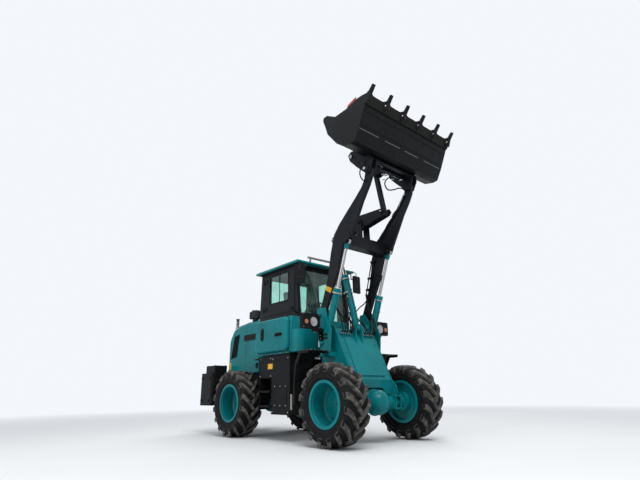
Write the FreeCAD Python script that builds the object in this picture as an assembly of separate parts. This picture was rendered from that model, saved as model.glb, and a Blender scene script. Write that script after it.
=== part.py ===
import FreeCAD, Part
import math
import os

V = FreeCAD.Vector

# Wheel loader, articulated, with its boom raised and its bucket rolled back.
# Millimetres. +X is forward, +Y is the machine's left, +Z is up, and the ground
# is Z = 0. The origin is on the ground under the articulation joint, which lies
# half way between the axles.

# Chassis
WHEELBASE = 2630.0
TRACK = 1690.0
AXLE_X = WHEELBASE / 2

# Tyre and rim
TYRE_R = 575.0
TYRE_W = 410.0
LUG_H = 38.0
LUG_W = 46.0
LUG_COUNT = 13
TYRE_FACETS = 16
LUG_SWEEP = 25.0
RIM_FLANGE_R = 330.0
RIM_SEAT_R = 305.0
RIM_W = 360.0
RIM_WALL = 16.0
HUB_R = 200.0
HUB_INSET = 245.0
HUB_RISE = 34.0
DISC_T = 18.0
AXLE_END_R = 70.0
AXLE_TUBE_R = 88.0
KNUCKLE_R = 150.0
DIFF_R = 185.0
DIFF_X = 100.0

# Fits
PIN_FIT = 0.05
MOVE_GAP = 6.0

# Articulation joint
HINGE_PIN_R = 32.0
HINGE_EAR_R = 85.0
HINGE_EAR_T = 40.0
HINGE_UPPER_Z = 950.0
HINGE_LOWER_Z = 450.0
HINGE_LEAF_T = 30.0

# Boom linkage, as points of the middle plane (x, z) in the raised pose
BOOM_PIVOT = (745.0, 1930.0)
BOOM_TIP = (1970.0, 4160.0)
ROCKER_PIVOT = (1270.0, 3550.0)
ROCKER_FRONT = (1789.0, 3591.0)
ROCKER_REAR = (600.0, 3400.0)
LINK_TOP = (1655.0, 4375.0)
TILT_BASE = (1021.0, 1745.0)
LIFT_EYE = (1400.0, 3079.0)
LIFT_BASE = (800.0, 1480.0)
ARM_Y = 510.0
ARM_T = 56.0
ARM_PIN_R = 32.0
ARM_BOSS_R = 75.0
EYE_R = 58.0
EYE_PIN_R = 25.0
# room for the lift rod's eye, which leaves its pin a little as the boom comes down
EYE_PLAY = 30.0

# Tower of the front frame
TOWER_GAP = 33.0
TOWER_PLAY = 6.0
TOWER_T = 22.0
TOWER_INNER_Y = ARM_Y - ARM_T / 2 - TOWER_GAP - TOWER_T
TOWER_OUTER_Y = ARM_Y + ARM_T / 2 + TOWER_GAP + TOWER_T
PANEL_TOP = (960.0, 1725.0)
PANEL_FOLD = (AXLE_X + 25.0, 912.0)
BEAM_X = (888.0, 914.0)
BEAM_TOP_Z = 1835.0
PANEL_T = 16.0
# raised field of the panel: start and end as shares of the slope, half width
FIELD_FROM = 0.17
FIELD_TO = 0.93
FIELD_HALF_W = 320.0
FIELD_T = 10.0
FIELD_CORNER_R = 45.0
FRAME_FOOT_Z = 700.0
FRAME_REAR_X = 640.0

# Fenders of the front wheels: top line from the front edge to the foot behind the wheel
FENDER_LINE = [(1003.0, 1352.0), (800.0, 1352.0), (690.0, 1180.0), (650.0, 900.0), (650.0, 560.0)]
FENDER_T = 12.0
FENDER_INNER_Y = 637.0
FENDER_REAR_Y = 700.0
FENDER_OUTER_Y = 1040.0
FENDER_ARM_X = (880.0, 960.0)

# Cylinders: barrel radius, rod radius
LIFT_BARREL_R = 55.0
LIFT_ROD_R = 27.0
TILT_BARREL_R = 55.0
TILT_ROD_R = 32.0
TILT_EAR_Y = TILT_BARREL_R + 8
STEER_BARREL_R = 34.0
STEER_ROD_R = 18.0
STEER_Z = 690.0
STEER_EYE_HALF = 34.0
STEER_PLATE_Z = 40.0
STEER_BASE = (-430.0, 300.0)
STEER_EYE = (380.0, 230.0)

# Bucket
BUCKET_W = 2150.0
BUCKET_WALL = 16.0
BUCKET_SIDE_T = 14.0
# strips on the shell's outside: segment of the outline, start and end as shares of it
BUCKET_STRIPS = [(1, 0.1, 0.26), (1, 0.66, 0.82)]
STRIP_T = 8.0
EDGE_BAND_W = 70.0
EDGE_BAND_T = 10.0
EDGE_T = 22.0
BUCKET_LIP = (2509.0, 5067.0)
TOOTH_TIP = (2617.0, 5161.0)
TOOTH_COUNT = 6
TOOTH_W = 60.0
TOOTH_SPAN = BUCKET_W - 52.0
TOOTH_T = 26.0
SCALLOP = 48.0
COUPLER_Y = 560.0
COUPLER_T = 22.0

# Cab and platform
CAB_HALF_W = 620.0
CAB_WALL = 45.0
CAB_TOP_Z = 2950.0
ROOF_TOP_Z = 3035.0
ROOF_HALF_W = CAB_HALF_W + 80.0
ROOF_BAR = (298.0, 3074.0)
ROOF_BAR_R = 21.0
ROOF_BAR_HALF = 450.0
MIRROR_X = 350.0
MIRROR_W = 200.0
MIRROR_Z = (2545.0, 2885.0)
# side, distance out, turn in degrees
MIRRORS = [(1, CAB_HALF_W + 115.0, 6.0), (-1, CAB_HALF_W + 70.0, 38.0)]
DOOR_T = 36.0
DOOR_GAP = 6.0
GLASS_T = 6.0
DECK_Z = 1440.0
DECK_T = 70.0
DECK_HALF_W = CAB_HALF_W + 180.0
TOOL_Y = CAB_HALF_W + 190.0
TOOL_FIELD_T = 72.0
TOOL_FIELD_X = (-720.0, 235.0)
TOOL_FIELD_Z = (1405.0, 1975.0)
TOOL_FRONT_X = 278.0

# Tanks and ladders between the wheels
TANK_X = (-230.0, 280.0)
TANK_Y = (500.0, 840.0)
GUARD_Y = (605.0, 840.0)
GUARD_L = 340.0
GUARD_T = 14.0
LADDER_L = 370.0
STEP_Z = (510.0, 745.0)
STEP_OUT = 45.0

# Hood and counterweight
HOOD_HALF_W = 560.0
HOOD_WALL = 14.0
CW_REAR_X = -2660.0
CW_FRONT_X = -2190.0
CW_HALF_W = 930.0
CW_BOTTOM_Z = 520.0
CW_TOP_Z = 1140.0
TOW_PIN_R = 21.0
TOW_SEAT_Z = (640.0, 850.0)

# Door openings of the cab: x, top z, and low z by side
DOOR_X = (-830.0, 130.0)
DOOR_TOP = 2920.0
DOOR_LOW = {1: 1470.0, -1: 2100.0}

# Side outlines, as (x, z) points
CAB_SIDE = [(-1020, 1440), (-930, CAB_TOP_Z), (170, CAB_TOP_Z), (225, 2200), (215, 1440)]
ARM_OUTLINE = [
    (690, 1880), (700, 2010), (800, 2230), (925, 2560), (1010, 2960), (1105, 3262), (1245, 3420),
    (1440, 3590), (1640, 3760), (1790, 3900), (1860, 4010), (1900, 4160), (1945, 4225), (2010, 4215),
    (2040, 4150), (2010, 4010), (1940, 3880), (1790, 3660), (1680, 3460), (1540, 3210), (1490, 3130),
    (1370, 3010), (1290, 2860), (1150, 2600), (1010, 2330), (870, 2040), (815, 1900), (760, 1850),
]
BUCKET_SIDE = [
    (2509, 5067), (2447, 4902), (2292, 4548), (2195, 4370), (2100, 4362), (1930, 4400), (1797, 4506),
    (1587, 4778), (1548, 4908), (1487, 5080), (1501, 5139), (1586, 5141), (1783, 5017), (2055, 5025),
    (2273, 5081), (2388, 5082),
]
HOOD_HINGE = (-2145.0, 1150.0)
HOOD_LUG_Y = 375.0
HOOD_SIDE = [
    (-2175, 1185), (-2165, 1700), (-2140, 1900), (-2060, 2010), (-1860, 2075), (-1535, 2110),
    (-1060, 2110), (-1060, 1115), (-1500, 1115),
]
HOOD_SHOULDER_R = 75.0
# rear grille of the hood: z of its lower and upper edge, half width
TAIL_GRILLE = (1290.0, 1680.0, 400.0)
# corners of the slanted side grille
SIDE_GRILLE = [(-2080, 1420), (-1970, 1850), (-1800, 1885), (-1885, 1455)]


def box(x0, x1, y0, y1, z0, z1):
    return Part.makeBox(x1 - x0, y1 - y0, z1 - z0, V(x0, y0, z0))


def pipe(p0, p1, r):
    """Round bar from one point to another."""
    a = V(*p0)
    d = V(*p1) - a
    return Part.makeCylinder(r, d.Length, a, d)


def bar_y(x, z, r, y0, y1):
    """Round bar along Y."""
    return Part.makeCylinder(r, y1 - y0, V(x, y0, z), V(0, 1, 0))


def bar_z(x, y, r, z0, z1):
    """Round bar along Z."""
    return Part.makeCylinder(r, z1 - z0, V(x, y, z0), V(0, 0, 1))


def slab(points, y0, y1):
    """Plate with a side outline of (x, z) points, from y0 to y1."""
    wire = Part.makePolygon([V(x, y0, z) for x, z in points] + [V(points[0][0], y0, points[0][1])])
    return Part.Face(wire).extrude(V(0, y1 - y0, 0))


def plan(points, z0, z1):
    """Plate with a plan outline of (x, y) points, from z0 to z1."""
    wire = Part.makePolygon([V(x, y, z0) for x, y in points] + [V(points[0][0], points[0][1], z0)])
    return Part.Face(wire).extrude(V(0, 0, z1 - z0))


def union(shapes):
    first = shapes[0]
    if len(shapes) == 1:
        return first
    return first.fuse(shapes[1:]).removeSplitter()


def both_sides(shape):
    """The shape and its mirror image across the middle plane."""
    return [shape, shape.mirror(V(0, 0, 0), V(0, 1, 0))]


def spun(profile, x, y, z, side):
    """Solid of revolution about an axis along Y: profile of (radius, outward) points."""
    points = [V(x + r, y + side * w, z) for r, w in profile]
    face = Part.Face(Part.makePolygon(points + [points[0]]))
    return face.revolve(V(x, y, z), V(0, 1, 0), 360)


def save(shape, node):
    shape.exportStep("parts/" + node + ".step")


def lug(start, hand):
    """One slanted lug from the tread's middle to its shoulder, as a solid of flat triangles.

    start is its angle in degrees at the middle, hand is the half of the tread it lies on."""
    # share of the way out, distance from the middle, outer radius, inner radius, width
    sections = [
        (0.0, -14.0, TYRE_R, TYRE_R - LUG_H - 12, LUG_W),
        (1.05, TYRE_W * 0.5, TYRE_R - 34, TYRE_R - 105, LUG_W),
    ]
    rings = []
    for share, across, outer, inner, width in sections:
        ring = []
        for radius, edge in ((outer, -1), (outer, 1), (inner, 1), (inner, -1)):
            angle = math.radians(start + share * LUG_SWEEP) + edge * width / 2 / radius
            ring.append(V(radius * math.cos(angle), hand * across, radius * math.sin(angle)))
        rings.append(ring)
    faces = []
    for near, far in zip(rings, rings[1:]):
        for i in range(4):
            j = (i + 1) % 4
            faces.append([near[i], near[j], far[j]])
            faces.append([near[i], far[j], far[i]])
    for ring in (rings[0], rings[-1]):
        faces.append([ring[0], ring[1], ring[2]])
        faces.append([ring[0], ring[2], ring[3]])
    shell = Part.makeShell([Part.Face(Part.makePolygon(f + [f[0]])) for f in faces])
    solid = Part.makeSolid(shell)
    if solid.Volume < 0:
        solid.reverse()
    return solid


def facet_ring(profile, count):
    """Ring about the Y axis with flat facets, whose flats lie at the profile's radii."""
    grow = 1.0 / math.cos(math.pi / count)
    rings = []
    for i in range(count):
        angle = 2 * math.pi * i / count
        rings.append([V(r * grow * math.cos(angle), w, r * grow * math.sin(angle)) for r, w in profile])
    faces = []
    for i in range(count):
        near = rings[i]
        far = rings[(i + 1) % count]
        for k in range(len(profile)):
            n = (k + 1) % len(profile)
            faces.append(Part.Face(Part.makePolygon([near[k], near[n], far[n], far[k], near[k]])))
    solid = Part.makeSolid(Part.makeShell(faces))
    if solid.Volume < 0:
        solid.reverse()
    return solid


def tyre_at_origin():
    """Tyre about the Y axis: a ring on the rim's seats with two rows of slanted lugs."""
    half = TYRE_W / 2
    bead = RIM_W / 2 - RIM_WALL
    tread = TYRE_R - LUG_H
    profile = [
        (RIM_SEAT_R, -bead), (RIM_FLANGE_R + 4, -bead), (450, -half + 2),
        (tread - 4, -half + 30), (tread - 4, half - 30), (450, half - 2), (RIM_FLANGE_R + 4, bead), (RIM_SEAT_R, bead),
    ]
    ring = facet_ring(profile, TYRE_FACETS)
    step = 360.0 / LUG_COUNT
    first = 270.0 - math.degrees(LUG_W / 2 / TYRE_R)
    lugs = []
    for hand, shift in ((1, 0.0), (-1, step / 2)):
        for i in range(LUG_COUNT):
            lugs.append(lug(first + i * step + shift, hand))
    return ring.fuse(lugs)


def rim(x, side):
    """Rim band with flanges, a deep dish and the hub's round end standing on its disc."""
    half = RIM_W / 2
    seat = RIM_SEAT_R - 0.3
    inner = seat - RIM_WALL
    hub = half - HUB_INSET
    disc = hub - HUB_RISE
    bore = AXLE_END_R + PIN_FIT
    profile = [
        (RIM_FLANGE_R, half), (RIM_FLANGE_R, half - RIM_WALL), (seat, half - RIM_WALL),
        (seat, -half + RIM_WALL), (RIM_FLANGE_R, -half + RIM_WALL), (RIM_FLANGE_R, -half),
        (inner, -half), (inner, disc - DISC_T), (bore, disc - DISC_T), (bore, hub), (HUB_R, hub),
        (HUB_R + 8, disc), (inner - 30, disc), (inner, disc + 30), (inner, half),
    ]
    return spun(profile, x, side * TRACK / 2, TYRE_R, side)


def axle(x):
    """Axle beam with its ball-shaped final drive, knuckles and wheel spigots."""
    z = TYRE_R
    hub_y = TRACK / 2 + RIM_W / 2 - HUB_INSET
    knuckle_y = hub_y - HUB_RISE - DISC_T - MOVE_GAP
    inner_y = knuckle_y - 60
    parts = [bar_y(x, z, AXLE_TUBE_R, -inner_y, inner_y)]
    nose = DIFF_X if x > 0 else -DIFF_X
    parts.append(Part.makeSphere(DIFF_R, V(x + nose, 0, z)))
    parts.append(Part.makeCylinder(DIFF_R - 10, DIFF_X, V(x, 0, z), V(nose, 0, 0)))
    parts.append(bar_y(x, z, AXLE_END_R, -hub_y, hub_y))
    parts += both_sides(bar_y(x, z, KNUCKLE_R, inner_y - 20, knuckle_y))
    parts += both_sides(box(x - 95, x + 95, 370, 440, z - 90, FRAME_FOOT_Z))
    return union(parts)


def rocker_outline():
    """Side outline of the bent rocker plate."""
    return [
        (ROCKER_FRONT[0] + 95, ROCKER_FRONT[1] - 10), (ROCKER_FRONT[0] + 60, ROCKER_FRONT[1] + 55),
        (ROCKER_FRONT[0] - 40, ROCKER_FRONT[1] + 62), (1230, 3680), (1150, 3650),
        (ROCKER_REAR[0] - 30, ROCKER_REAR[1] + 60), (ROCKER_REAR[0] - 70, ROCKER_REAR[1] + 10),
        (ROCKER_REAR[0] - 30, ROCKER_REAR[1] - 58), (1250, 3450), (1340, 3440),
        (ROCKER_FRONT[0] + 50, ROCKER_FRONT[1] - 62),
    ]


def rocker():
    """Two plates with spacers, a pivot sleeve and the front pin."""
    plates = both_sides(slab(rocker_outline(), 52, 74))
    sleeve = bar_y(*ROCKER_PIVOT, 62, -74, 74)
    front_pin = bar_y(*ROCKER_FRONT, EYE_PIN_R, -82, 82)
    web = slab([(1480, 3545), (1560, 3552), (1560, 3572), (1480, 3565)], -54, 54)
    body = union(plates + [sleeve, front_pin, web])
    return body.cut(bar_y(*ROCKER_PIVOT, EYE_PIN_R + PIN_FIT, -90, 90))


def tilt_link():
    """Single bar from the rocker up to the coupler."""
    a = V(ROCKER_FRONT[0], 0, ROCKER_FRONT[1])
    b = V(LINK_TOP[0], 0, LINK_TOP[1])
    along = (b - a).normalize()
    across = V(along.z, 0, -along.x)
    w = 40
    corners = [a + across * w, b + across * w, b - across * w, a - across * w]
    bar = slab([(c.x, c.z) for c in corners], -28, 28)
    ends = [bar_y(*ROCKER_FRONT, 55, -46, 46), bar_y(*LINK_TOP, 52, -40, 40)]
    return union([bar] + ends).cut(bar_y(*ROCKER_FRONT, EYE_PIN_R + PIN_FIT, -60, 60))


def boom():
    """Two arm plates, the cross box between them and the ears of the rocker."""
    y0 = ARM_Y - ARM_T / 2
    y1 = ARM_Y + ARM_T / 2
    arm = slab(ARM_OUTLINE, y0, y1)
    eye = V(LIFT_EYE[0], 0, LIFT_EYE[1])
    along = (V(LIFT_BASE[0], 0, LIFT_BASE[1]) - eye).normalize()
    out = V(-along.z, 0, along.x)
    near = out * -(LIFT_BARREL_R + 18)
    slot = [eye + near, eye + near + along * 420, eye + out * 200 + along * 420, eye + out * 200]
    arm = arm.cut(bar_y(*LIFT_EYE, EYE_R + EYE_PLAY, y0 - 1, y1 + 1))
    arm = arm.cut(slab([(q.x, q.z) for q in slot], y0 - 1, y1 + 1))
    arm = arm.fuse(bar_y(*BOOM_PIVOT, ARM_BOSS_R, y0 - TOWER_GAP + TOWER_PLAY, y1 + TOWER_GAP - TOWER_PLAY))
    cheek = [(1290, 3225), (1460, 3225), (1498, 3150), (1435, 3035), (1365, 3035), (1290, 3110)]
    parts = both_sides(arm)
    for lo, hi in ((y0 - 12, y0), (y1, y1 + 12)):
        parts += both_sides(slab(cheek, lo, hi))
    for lo, hi in ((y0 - 22, y0 - 12), (y1 + 12, y1 + 22)):
        parts += both_sides(bar_y(*LIFT_EYE, 38, lo, hi))
    tube = slab([(1190, 3030), (1345, 3050), (1345, 3250), (1190, 3240)], -y0, y0)
    parts.append(tube)
    ear = [(1210, 3230), (1345, 3230), (1335, 3560), (1300, 3610), (1240, 3610), (1205, 3560)]
    parts += both_sides(slab(ear, 82, 102))
    parts.append(bar_y(*ROCKER_PIVOT, EYE_PIN_R, -112, 112))
    body = union(parts)
    for s in (1, -1):
        lo = min(s * (y0 - 30), s * (y1 + 30))
        hi = max(s * (y0 - 30), s * (y1 + 30))
        body = body.cut(bar_y(*BOOM_PIVOT, ARM_PIN_R + PIN_FIT, lo, hi))
        body = body.cut(bar_y(*BOOM_TIP, ARM_PIN_R + PIN_FIT, lo, hi))
    return body


def cylinder(base, eye, y, barrel_r, rod_r, barrel_len, rod_in, eye_r, half):
    """Barrel and rod of a cylinder in the plane y: base eye with a hole, rod with its eye."""
    a = V(base[0], y, base[1])
    b = V(eye[0], y, eye[1])
    along = (b - a).normalize()
    start = a + along * (eye_r * 0.7)
    end = a + along * barrel_len
    barrel = Part.makeCylinder(barrel_r, (end - start).Length, start, along)
    collar = Part.makeCylinder(barrel_r + 12, 60, end - along * 60, along)
    lug = bar_y(base[0], base[1], eye_r, y - half, y + half)
    barrel = union([barrel, collar, lug])
    barrel = barrel.cut(Part.makeCylinder(rod_r + PIN_FIT, barrel_len, a + along * (eye_r + 40), along))
    barrel = barrel.cut(bar_y(base[0], base[1], EYE_PIN_R + PIN_FIT, y - half - 1, y + half + 1))
    rod = Part.makeCylinder(rod_r, (b - a).Length - rod_in, a + along * rod_in, along)
    rod_eye = bar_y(eye[0], eye[1], eye_r, y - half, y + half)
    return barrel, union([rod, rod_eye])


def turned(shape):
    """A shape drawn in the X-Z plane laid down into the X-Y plane."""
    flat = shape.copy()
    flat.rotate(V(0, 0, 0), V(1, 0, 0), -90)
    # (x, z) of the drawing becomes (x, y)
    return flat


def steer_cylinder(side):
    base = (STEER_BASE[0], side * STEER_BASE[1])
    eye = (STEER_EYE[0], side * STEER_EYE[1])
    barrel, rod = cylinder(base, eye, 0, STEER_BARREL_R, STEER_ROD_R, 500, 280, 34, STEER_EYE_HALF)
    out = []
    for piece in (barrel, rod):
        flat = turned(piece)
        flat.translate(V(0, 0, STEER_Z))
        out.append(flat)
    return out


def open_inset(points, t):
    """Open (x, z) line shifted by t to the right of its direction."""
    out = []
    last = len(points) - 1
    for i, (x, z) in enumerate(points):
        normals = []
        for j, k in ((i - 1, i), (i, i + 1)):
            if j >= 0 and k <= last:
                d = V(points[k][0] - points[j][0], 0, points[k][1] - points[j][1]).normalize()
                normals.append(V(d.z, 0, -d.x))
        mid = normals[0]
        if len(normals) == 2:
            mid = (normals[0] + normals[1]).normalize()
        q = V(x, 0, z) + mid * (t / mid.dot(normals[0]))
        out.append((q.x, q.z))
    return out


def bucket():
    """Bucket shell: two side plates joined by a floor, a rounded back and a spill guard."""
    half = BUCKET_W / 2
    shell_line = BUCKET_SIDE[:11]
    # the outline runs with the inside of the bucket on its right
    inner = open_inset(shell_line, BUCKET_WALL)
    parts = [slab(shell_line + inner[::-1], -half, half)]
    parts += both_sides(slab(BUCKET_SIDE, half - BUCKET_SIDE_T, half))
    # strips across the floor and the back, outside
    outer = open_inset(shell_line, -STRIP_T)
    for first, start, end in BUCKET_STRIPS:
        p0, p1 = (V(x, 0, z) for x, z in (shell_line[first], shell_line[first + 1]))
        q0, q1 = (V(x, 0, z) for x, z in (outer[first], outer[first + 1]))
        line = [p0 + (p1 - p0) * start, p0 + (p1 - p0) * end, q0 + (q1 - q0) * end, q0 + (q1 - q0) * start]
        parts.append(slab([(c.x, c.z) for c in line], -half + 40, half - 40))
    # thicker strips along the open edge of the side plates
    edge = [BUCKET_SIDE[0]] + BUCKET_SIDE[:9:-1]
    band = edge + open_inset(edge, -EDGE_BAND_W)[::-1]
    for s in (1, -1):
        y = sorted((s * (half - BUCKET_SIDE_T - EDGE_BAND_T), s * (half - BUCKET_SIDE_T + 1)))
        parts.append(slab(band, y[0], y[1]))
    return union(parts)


def teeth():
    """Cutting edge, scalloped between its six bolted teeth."""
    lip = V(BUCKET_LIP[0], 0, BUCKET_LIP[1])
    back = V(BUCKET_SIDE[1][0], 0, BUCKET_SIDE[1][1])
    along = (lip - back).normalize()
    out = V(along.z, 0, -along.x)
    half = BUCKET_W / 2
    step = TOOTH_SPAN / (TOOTH_COUNT - 1)
    places = [-TOOTH_SPAN / 2 + i * step for i in range(TOOTH_COUNT)]
    # plan of the edge: distance along the floor from the lip, distance across
    front = [(24, -half)]
    for y, after in zip(places, places[1:]):
        front += [(24, y + TOOTH_W * 0.7), (24, after - TOOTH_W * 0.7)]
        for share in (0.2, 0.32, 0.5, 0.68, 0.8):
            front.insert(-1, (24 - SCALLOP * math.sin(math.pi * share), y + step * share))
    front.append((24, half))
    rear = [(-(lip - back).Length, half), (-(lip - back).Length, -half)]
    wire = []
    for u, y in front + rear:
        p = lip + along * u
        wire.append(V(p.x, y, p.z))
    edge = Part.Face(Part.makePolygon(wire + [wire[0]])).extrude(out * EDGE_T)
    parts = [edge]
    tip = V(TOOTH_TIP[0], 0, TOOTH_TIP[1])
    root = lip - along * 130 + out * (EDGE_T - 1)
    side = [root, root + out * 40, lip + out * (EDGE_T + 36), tip + out * TOOTH_T, tip,
            lip + out * (EDGE_T - 1) + along * 24]
    for y in places:
        y = max(min(y, half - TOOTH_W / 2), -half + TOOTH_W / 2)
        parts.append(slab([(p.x, p.z) for p in side], y - TOOTH_W / 2, y + TOOTH_W / 2))
    return union(parts)


def coupler():
    """Quick coupler: side plates with the boom pins, cross tube and link ears."""
    plate = [
        (1560, 4560), (1620, 4610), (1700, 4600), (1806, 4498.8), (1915, 4412), (2050, 4373),
        (2090, 4330), (2090, 4230), (2010, 4080), (1930, 4090), (1740, 4280), (1600, 4440),
    ]
    inner_y = ARM_Y - ARM_T / 2 - 8 - COUPLER_T
    parts = both_sides(slab(plate, COUPLER_Y, COUPLER_Y + COUPLER_T))
    parts += both_sides(slab(plate, inner_y, inner_y + COUPLER_T))
    parts += both_sides(bar_y(*BOOM_TIP, ARM_PIN_R, inner_y, COUPLER_Y + COUPLER_T))
    tube = [(1735, 4440), (1790, 4480), (1890, 4380), (1850, 4330)]
    parts.append(slab(tube, -COUPLER_Y, COUPLER_Y))
    low = [(1960, 4330), (2075, 4300), (2075, 4335), (1990, 4360)]
    parts.append(slab(low, -COUPLER_Y, COUPLER_Y))
    ear = [(1610, 4400), (1690, 4430), (1800, 4470), (1850, 4340), (1700, 4300), (1620, 4310)]
    parts += both_sides(slab(ear, 52, 72))
    return union(parts)


def front_slab(points, x0, x1):
    """Plate with a front outline of (y, z) points, from x0 to x1."""
    wire = Part.makePolygon([V(x0, y, z) for y, z in points] + [V(x0, points[0][0], points[0][1])])
    return Part.Face(wire).extrude(V(x1 - x0, 0, 0))


def panel_field():
    """Raised field with rounded corners on the sloped front panel."""
    a = V(PANEL_TOP[0], 0, PANEL_TOP[1])
    b = V(PANEL_FOLD[0], 0, PANEL_FOLD[1])
    along = b - a
    out = V(-along.z, 0, along.x).normalize()
    p = a + along * FIELD_FROM - out
    q = a + along * FIELD_TO - out
    up = out * (FIELD_T + 1)
    plate = slab([(c.x, c.z) for c in (p, q, q + up, p + up)], -FIELD_HALF_W, FIELD_HALF_W)
    edges = [e for e in plate.Edges if abs(e.Length - FIELD_T - 1) < 0.01]
    return plate.makeFillet(FIELD_CORNER_R, edges)


def front_frame():
    """Front frame: tower plates, sloped front panel, floor and the hinge ears."""
    inner = [
        (690, 1880), (685, 2005), (715, 2040), (815, 2038), (908, 1895), PANEL_TOP, PANEL_FOLD,
        (PANEL_FOLD[0] + 97, 800), (PANEL_FOLD[0] + 100, FRAME_FOOT_Z), (FRAME_REAR_X, FRAME_FOOT_Z), (FRAME_REAR_X, 1330), (775, 1352),
        (775, 1780),
    ]
    outer = [
        (765, 1780), (690, 1985), (705, 2052), (895, 2048), (940, 1870), (1025, 1655), (1000, 1400), (980, 1270),
        (765, 1270),
    ]
    y_in = TOWER_INNER_Y
    y_out = TOWER_OUTER_Y - TOWER_T
    parts = both_sides(slab(inner, y_in, y_in + TOWER_T))
    parts += both_sides(slab(outer, y_out, y_out + TOWER_T))
    tie = [(765, 1270), (980, 1270), (980, 1335), (765, 1335)]
    parts += both_sides(slab(tie, y_in, y_out + TOWER_T))
    parts += both_sides(bar_y(*BOOM_PIVOT, ARM_PIN_R, y_in, y_out + TOWER_T + 10))
    parts += both_sides(bar_y(*LIFT_BASE, EYE_PIN_R, y_in, y_out + TOWER_T + 10))
    t = PANEL_T
    panel = [PANEL_TOP, PANEL_FOLD, (PANEL_FOLD[0] - t, PANEL_FOLD[1]), (PANEL_TOP[0] - t, PANEL_TOP[1])]
    parts.append(slab(panel, -y_in - 1, y_in + 1))
    parts.append(panel_field())
    x = PANEL_FOLD[0]
    low = box(x - t, x, -y_in - 1, y_in + 1, FRAME_FOOT_Z, PANEL_FOLD[1])
    arch = [(-300, FRAME_FOOT_Z - 1), (-195, TYRE_R + DIFF_R + 30), (195, TYRE_R + DIFF_R + 30), (300, FRAME_FOOT_Z - 1)]
    low = low.cut(front_slab(arch, x - 60, x + 20))
    parts.append(low)
    parts.append(box(FRAME_REAR_X, FRAME_REAR_X + 25, -y_in - 1, y_in + 1, FRAME_FOOT_Z, 1340))
    parts.append(slab([(780, 1600), (960, 1700), (960, 1725), (780, 1625)], -y_in - 1, y_in + 1))
    # cross beam behind the panel's top, open in the middle for the tilt cylinder
    parts += both_sides(box(BEAM_X[0], BEAM_X[1], 110, y_in + 1, 1650, BEAM_TOP_Z))
    # neck that carries the two hinge ears
    neck = plan([(FRAME_REAR_X + 5, -y_in), (430, -170), (430, 170), (FRAME_REAR_X + 5, y_in)], 420, 1005)
    hollow = plan([(FRAME_REAR_X + 6, -y_in + 30), (455, -145), (455, 145), (FRAME_REAR_X + 6, y_in - 30)], 500, 905)
    parts.append(neck.cut(hollow))
    for z in (HINGE_UPPER_Z, HINGE_LOWER_Z):
        lo = z - HINGE_EAR_T / 2
        hi = z + HINGE_EAR_T / 2
        parts.append(plan([(0, -HINGE_EAR_R), (440, -160), (440, 160), (0, HINGE_EAR_R)], lo, hi))
        parts.append(bar_z(0, 0, HINGE_EAR_R, lo, hi))
    # brackets of the steering cylinders' rods
    for s in (1, -1):
        for lo in (STEER_Z - STEER_PLATE_Z - 18, STEER_Z + STEER_PLATE_Z):
            y = s * STEER_EYE[1]
            parts.append(box(STEER_EYE[0] - 40, 480, y - 40, y + 40, lo, lo + 18))
    # bracket of the tilt cylinder
    bx, bz = TILT_BASE
    ear = [(bx - 60, bz + 20), (bx, bz + 60), (bx + 55, bz + 10), (1090, 1440), (940, 1740)]
    parts += both_sides(slab(ear, TILT_EAR_Y, TILT_EAR_Y + 20))
    parts.append(bar_y(*TILT_BASE, EYE_PIN_R, -TILT_EAR_Y - 28, TILT_EAR_Y + 28))
    body = union(parts)
    for z in (HINGE_UPPER_Z, HINGE_LOWER_Z):
        body = body.cut(bar_z(0, 0, HINGE_PIN_R + PIN_FIT, z - 60, z + 60))
    return body


def fenders():
    """Bent plate fenders over and behind the front wheels, on arms from the tower."""
    t = FENDER_T
    top = []
    for x, z in FENDER_LINE:
        top.append((x, z))
    low = []
    for i in range(len(FENDER_LINE)):
        x, z = FENDER_LINE[i]
        low.append((x + t, z - t))
    plate = slab(top + low[::-1], FENDER_INNER_Y, FENDER_OUTER_Y)
    # the part behind the wheel starts further out, clear of the frame
    plate = plate.cut(box(500, 760, FENDER_INNER_Y - 1, FENDER_REAR_Y, 400, 1300))
    x0, x1 = FENDER_ARM_X
    z = FENDER_LINE[0][1]
    arm = box(x0, x1, TOWER_OUTER_Y, FENDER_INNER_Y + 60, z - t - 24, z - t)
    edge = slab([(FENDER_LINE[0][0], z), (FENDER_LINE[1][0], z), (FENDER_LINE[2][0], FENDER_LINE[2][1]),
                 (FENDER_LINE[2][0] + 40, FENDER_LINE[2][1] - 40), (FENDER_LINE[1][0] + 20, z - 45),
                 (FENDER_LINE[0][0], z - 45)], FENDER_OUTER_Y - t, FENDER_OUTER_Y)
    return both_sides(union([plate, arm, edge]))


def front_lamps():
    """Headlamp boxes with a round lamp, on brackets from the tower."""
    lamp = box(760, 820, 745, 1010, 1700, 1935)
    lens = Part.makeCylinder(72, 16, V(819, 830, 1820), V(1, 0, 0))
    amber = box(819, 831, 925, 990, 1770, 1870)
    stalk = box(790, 860, TOWER_OUTER_Y, 800, 1660, 1701)
    return both_sides(union([lamp, lens, amber, stalk]))


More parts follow.
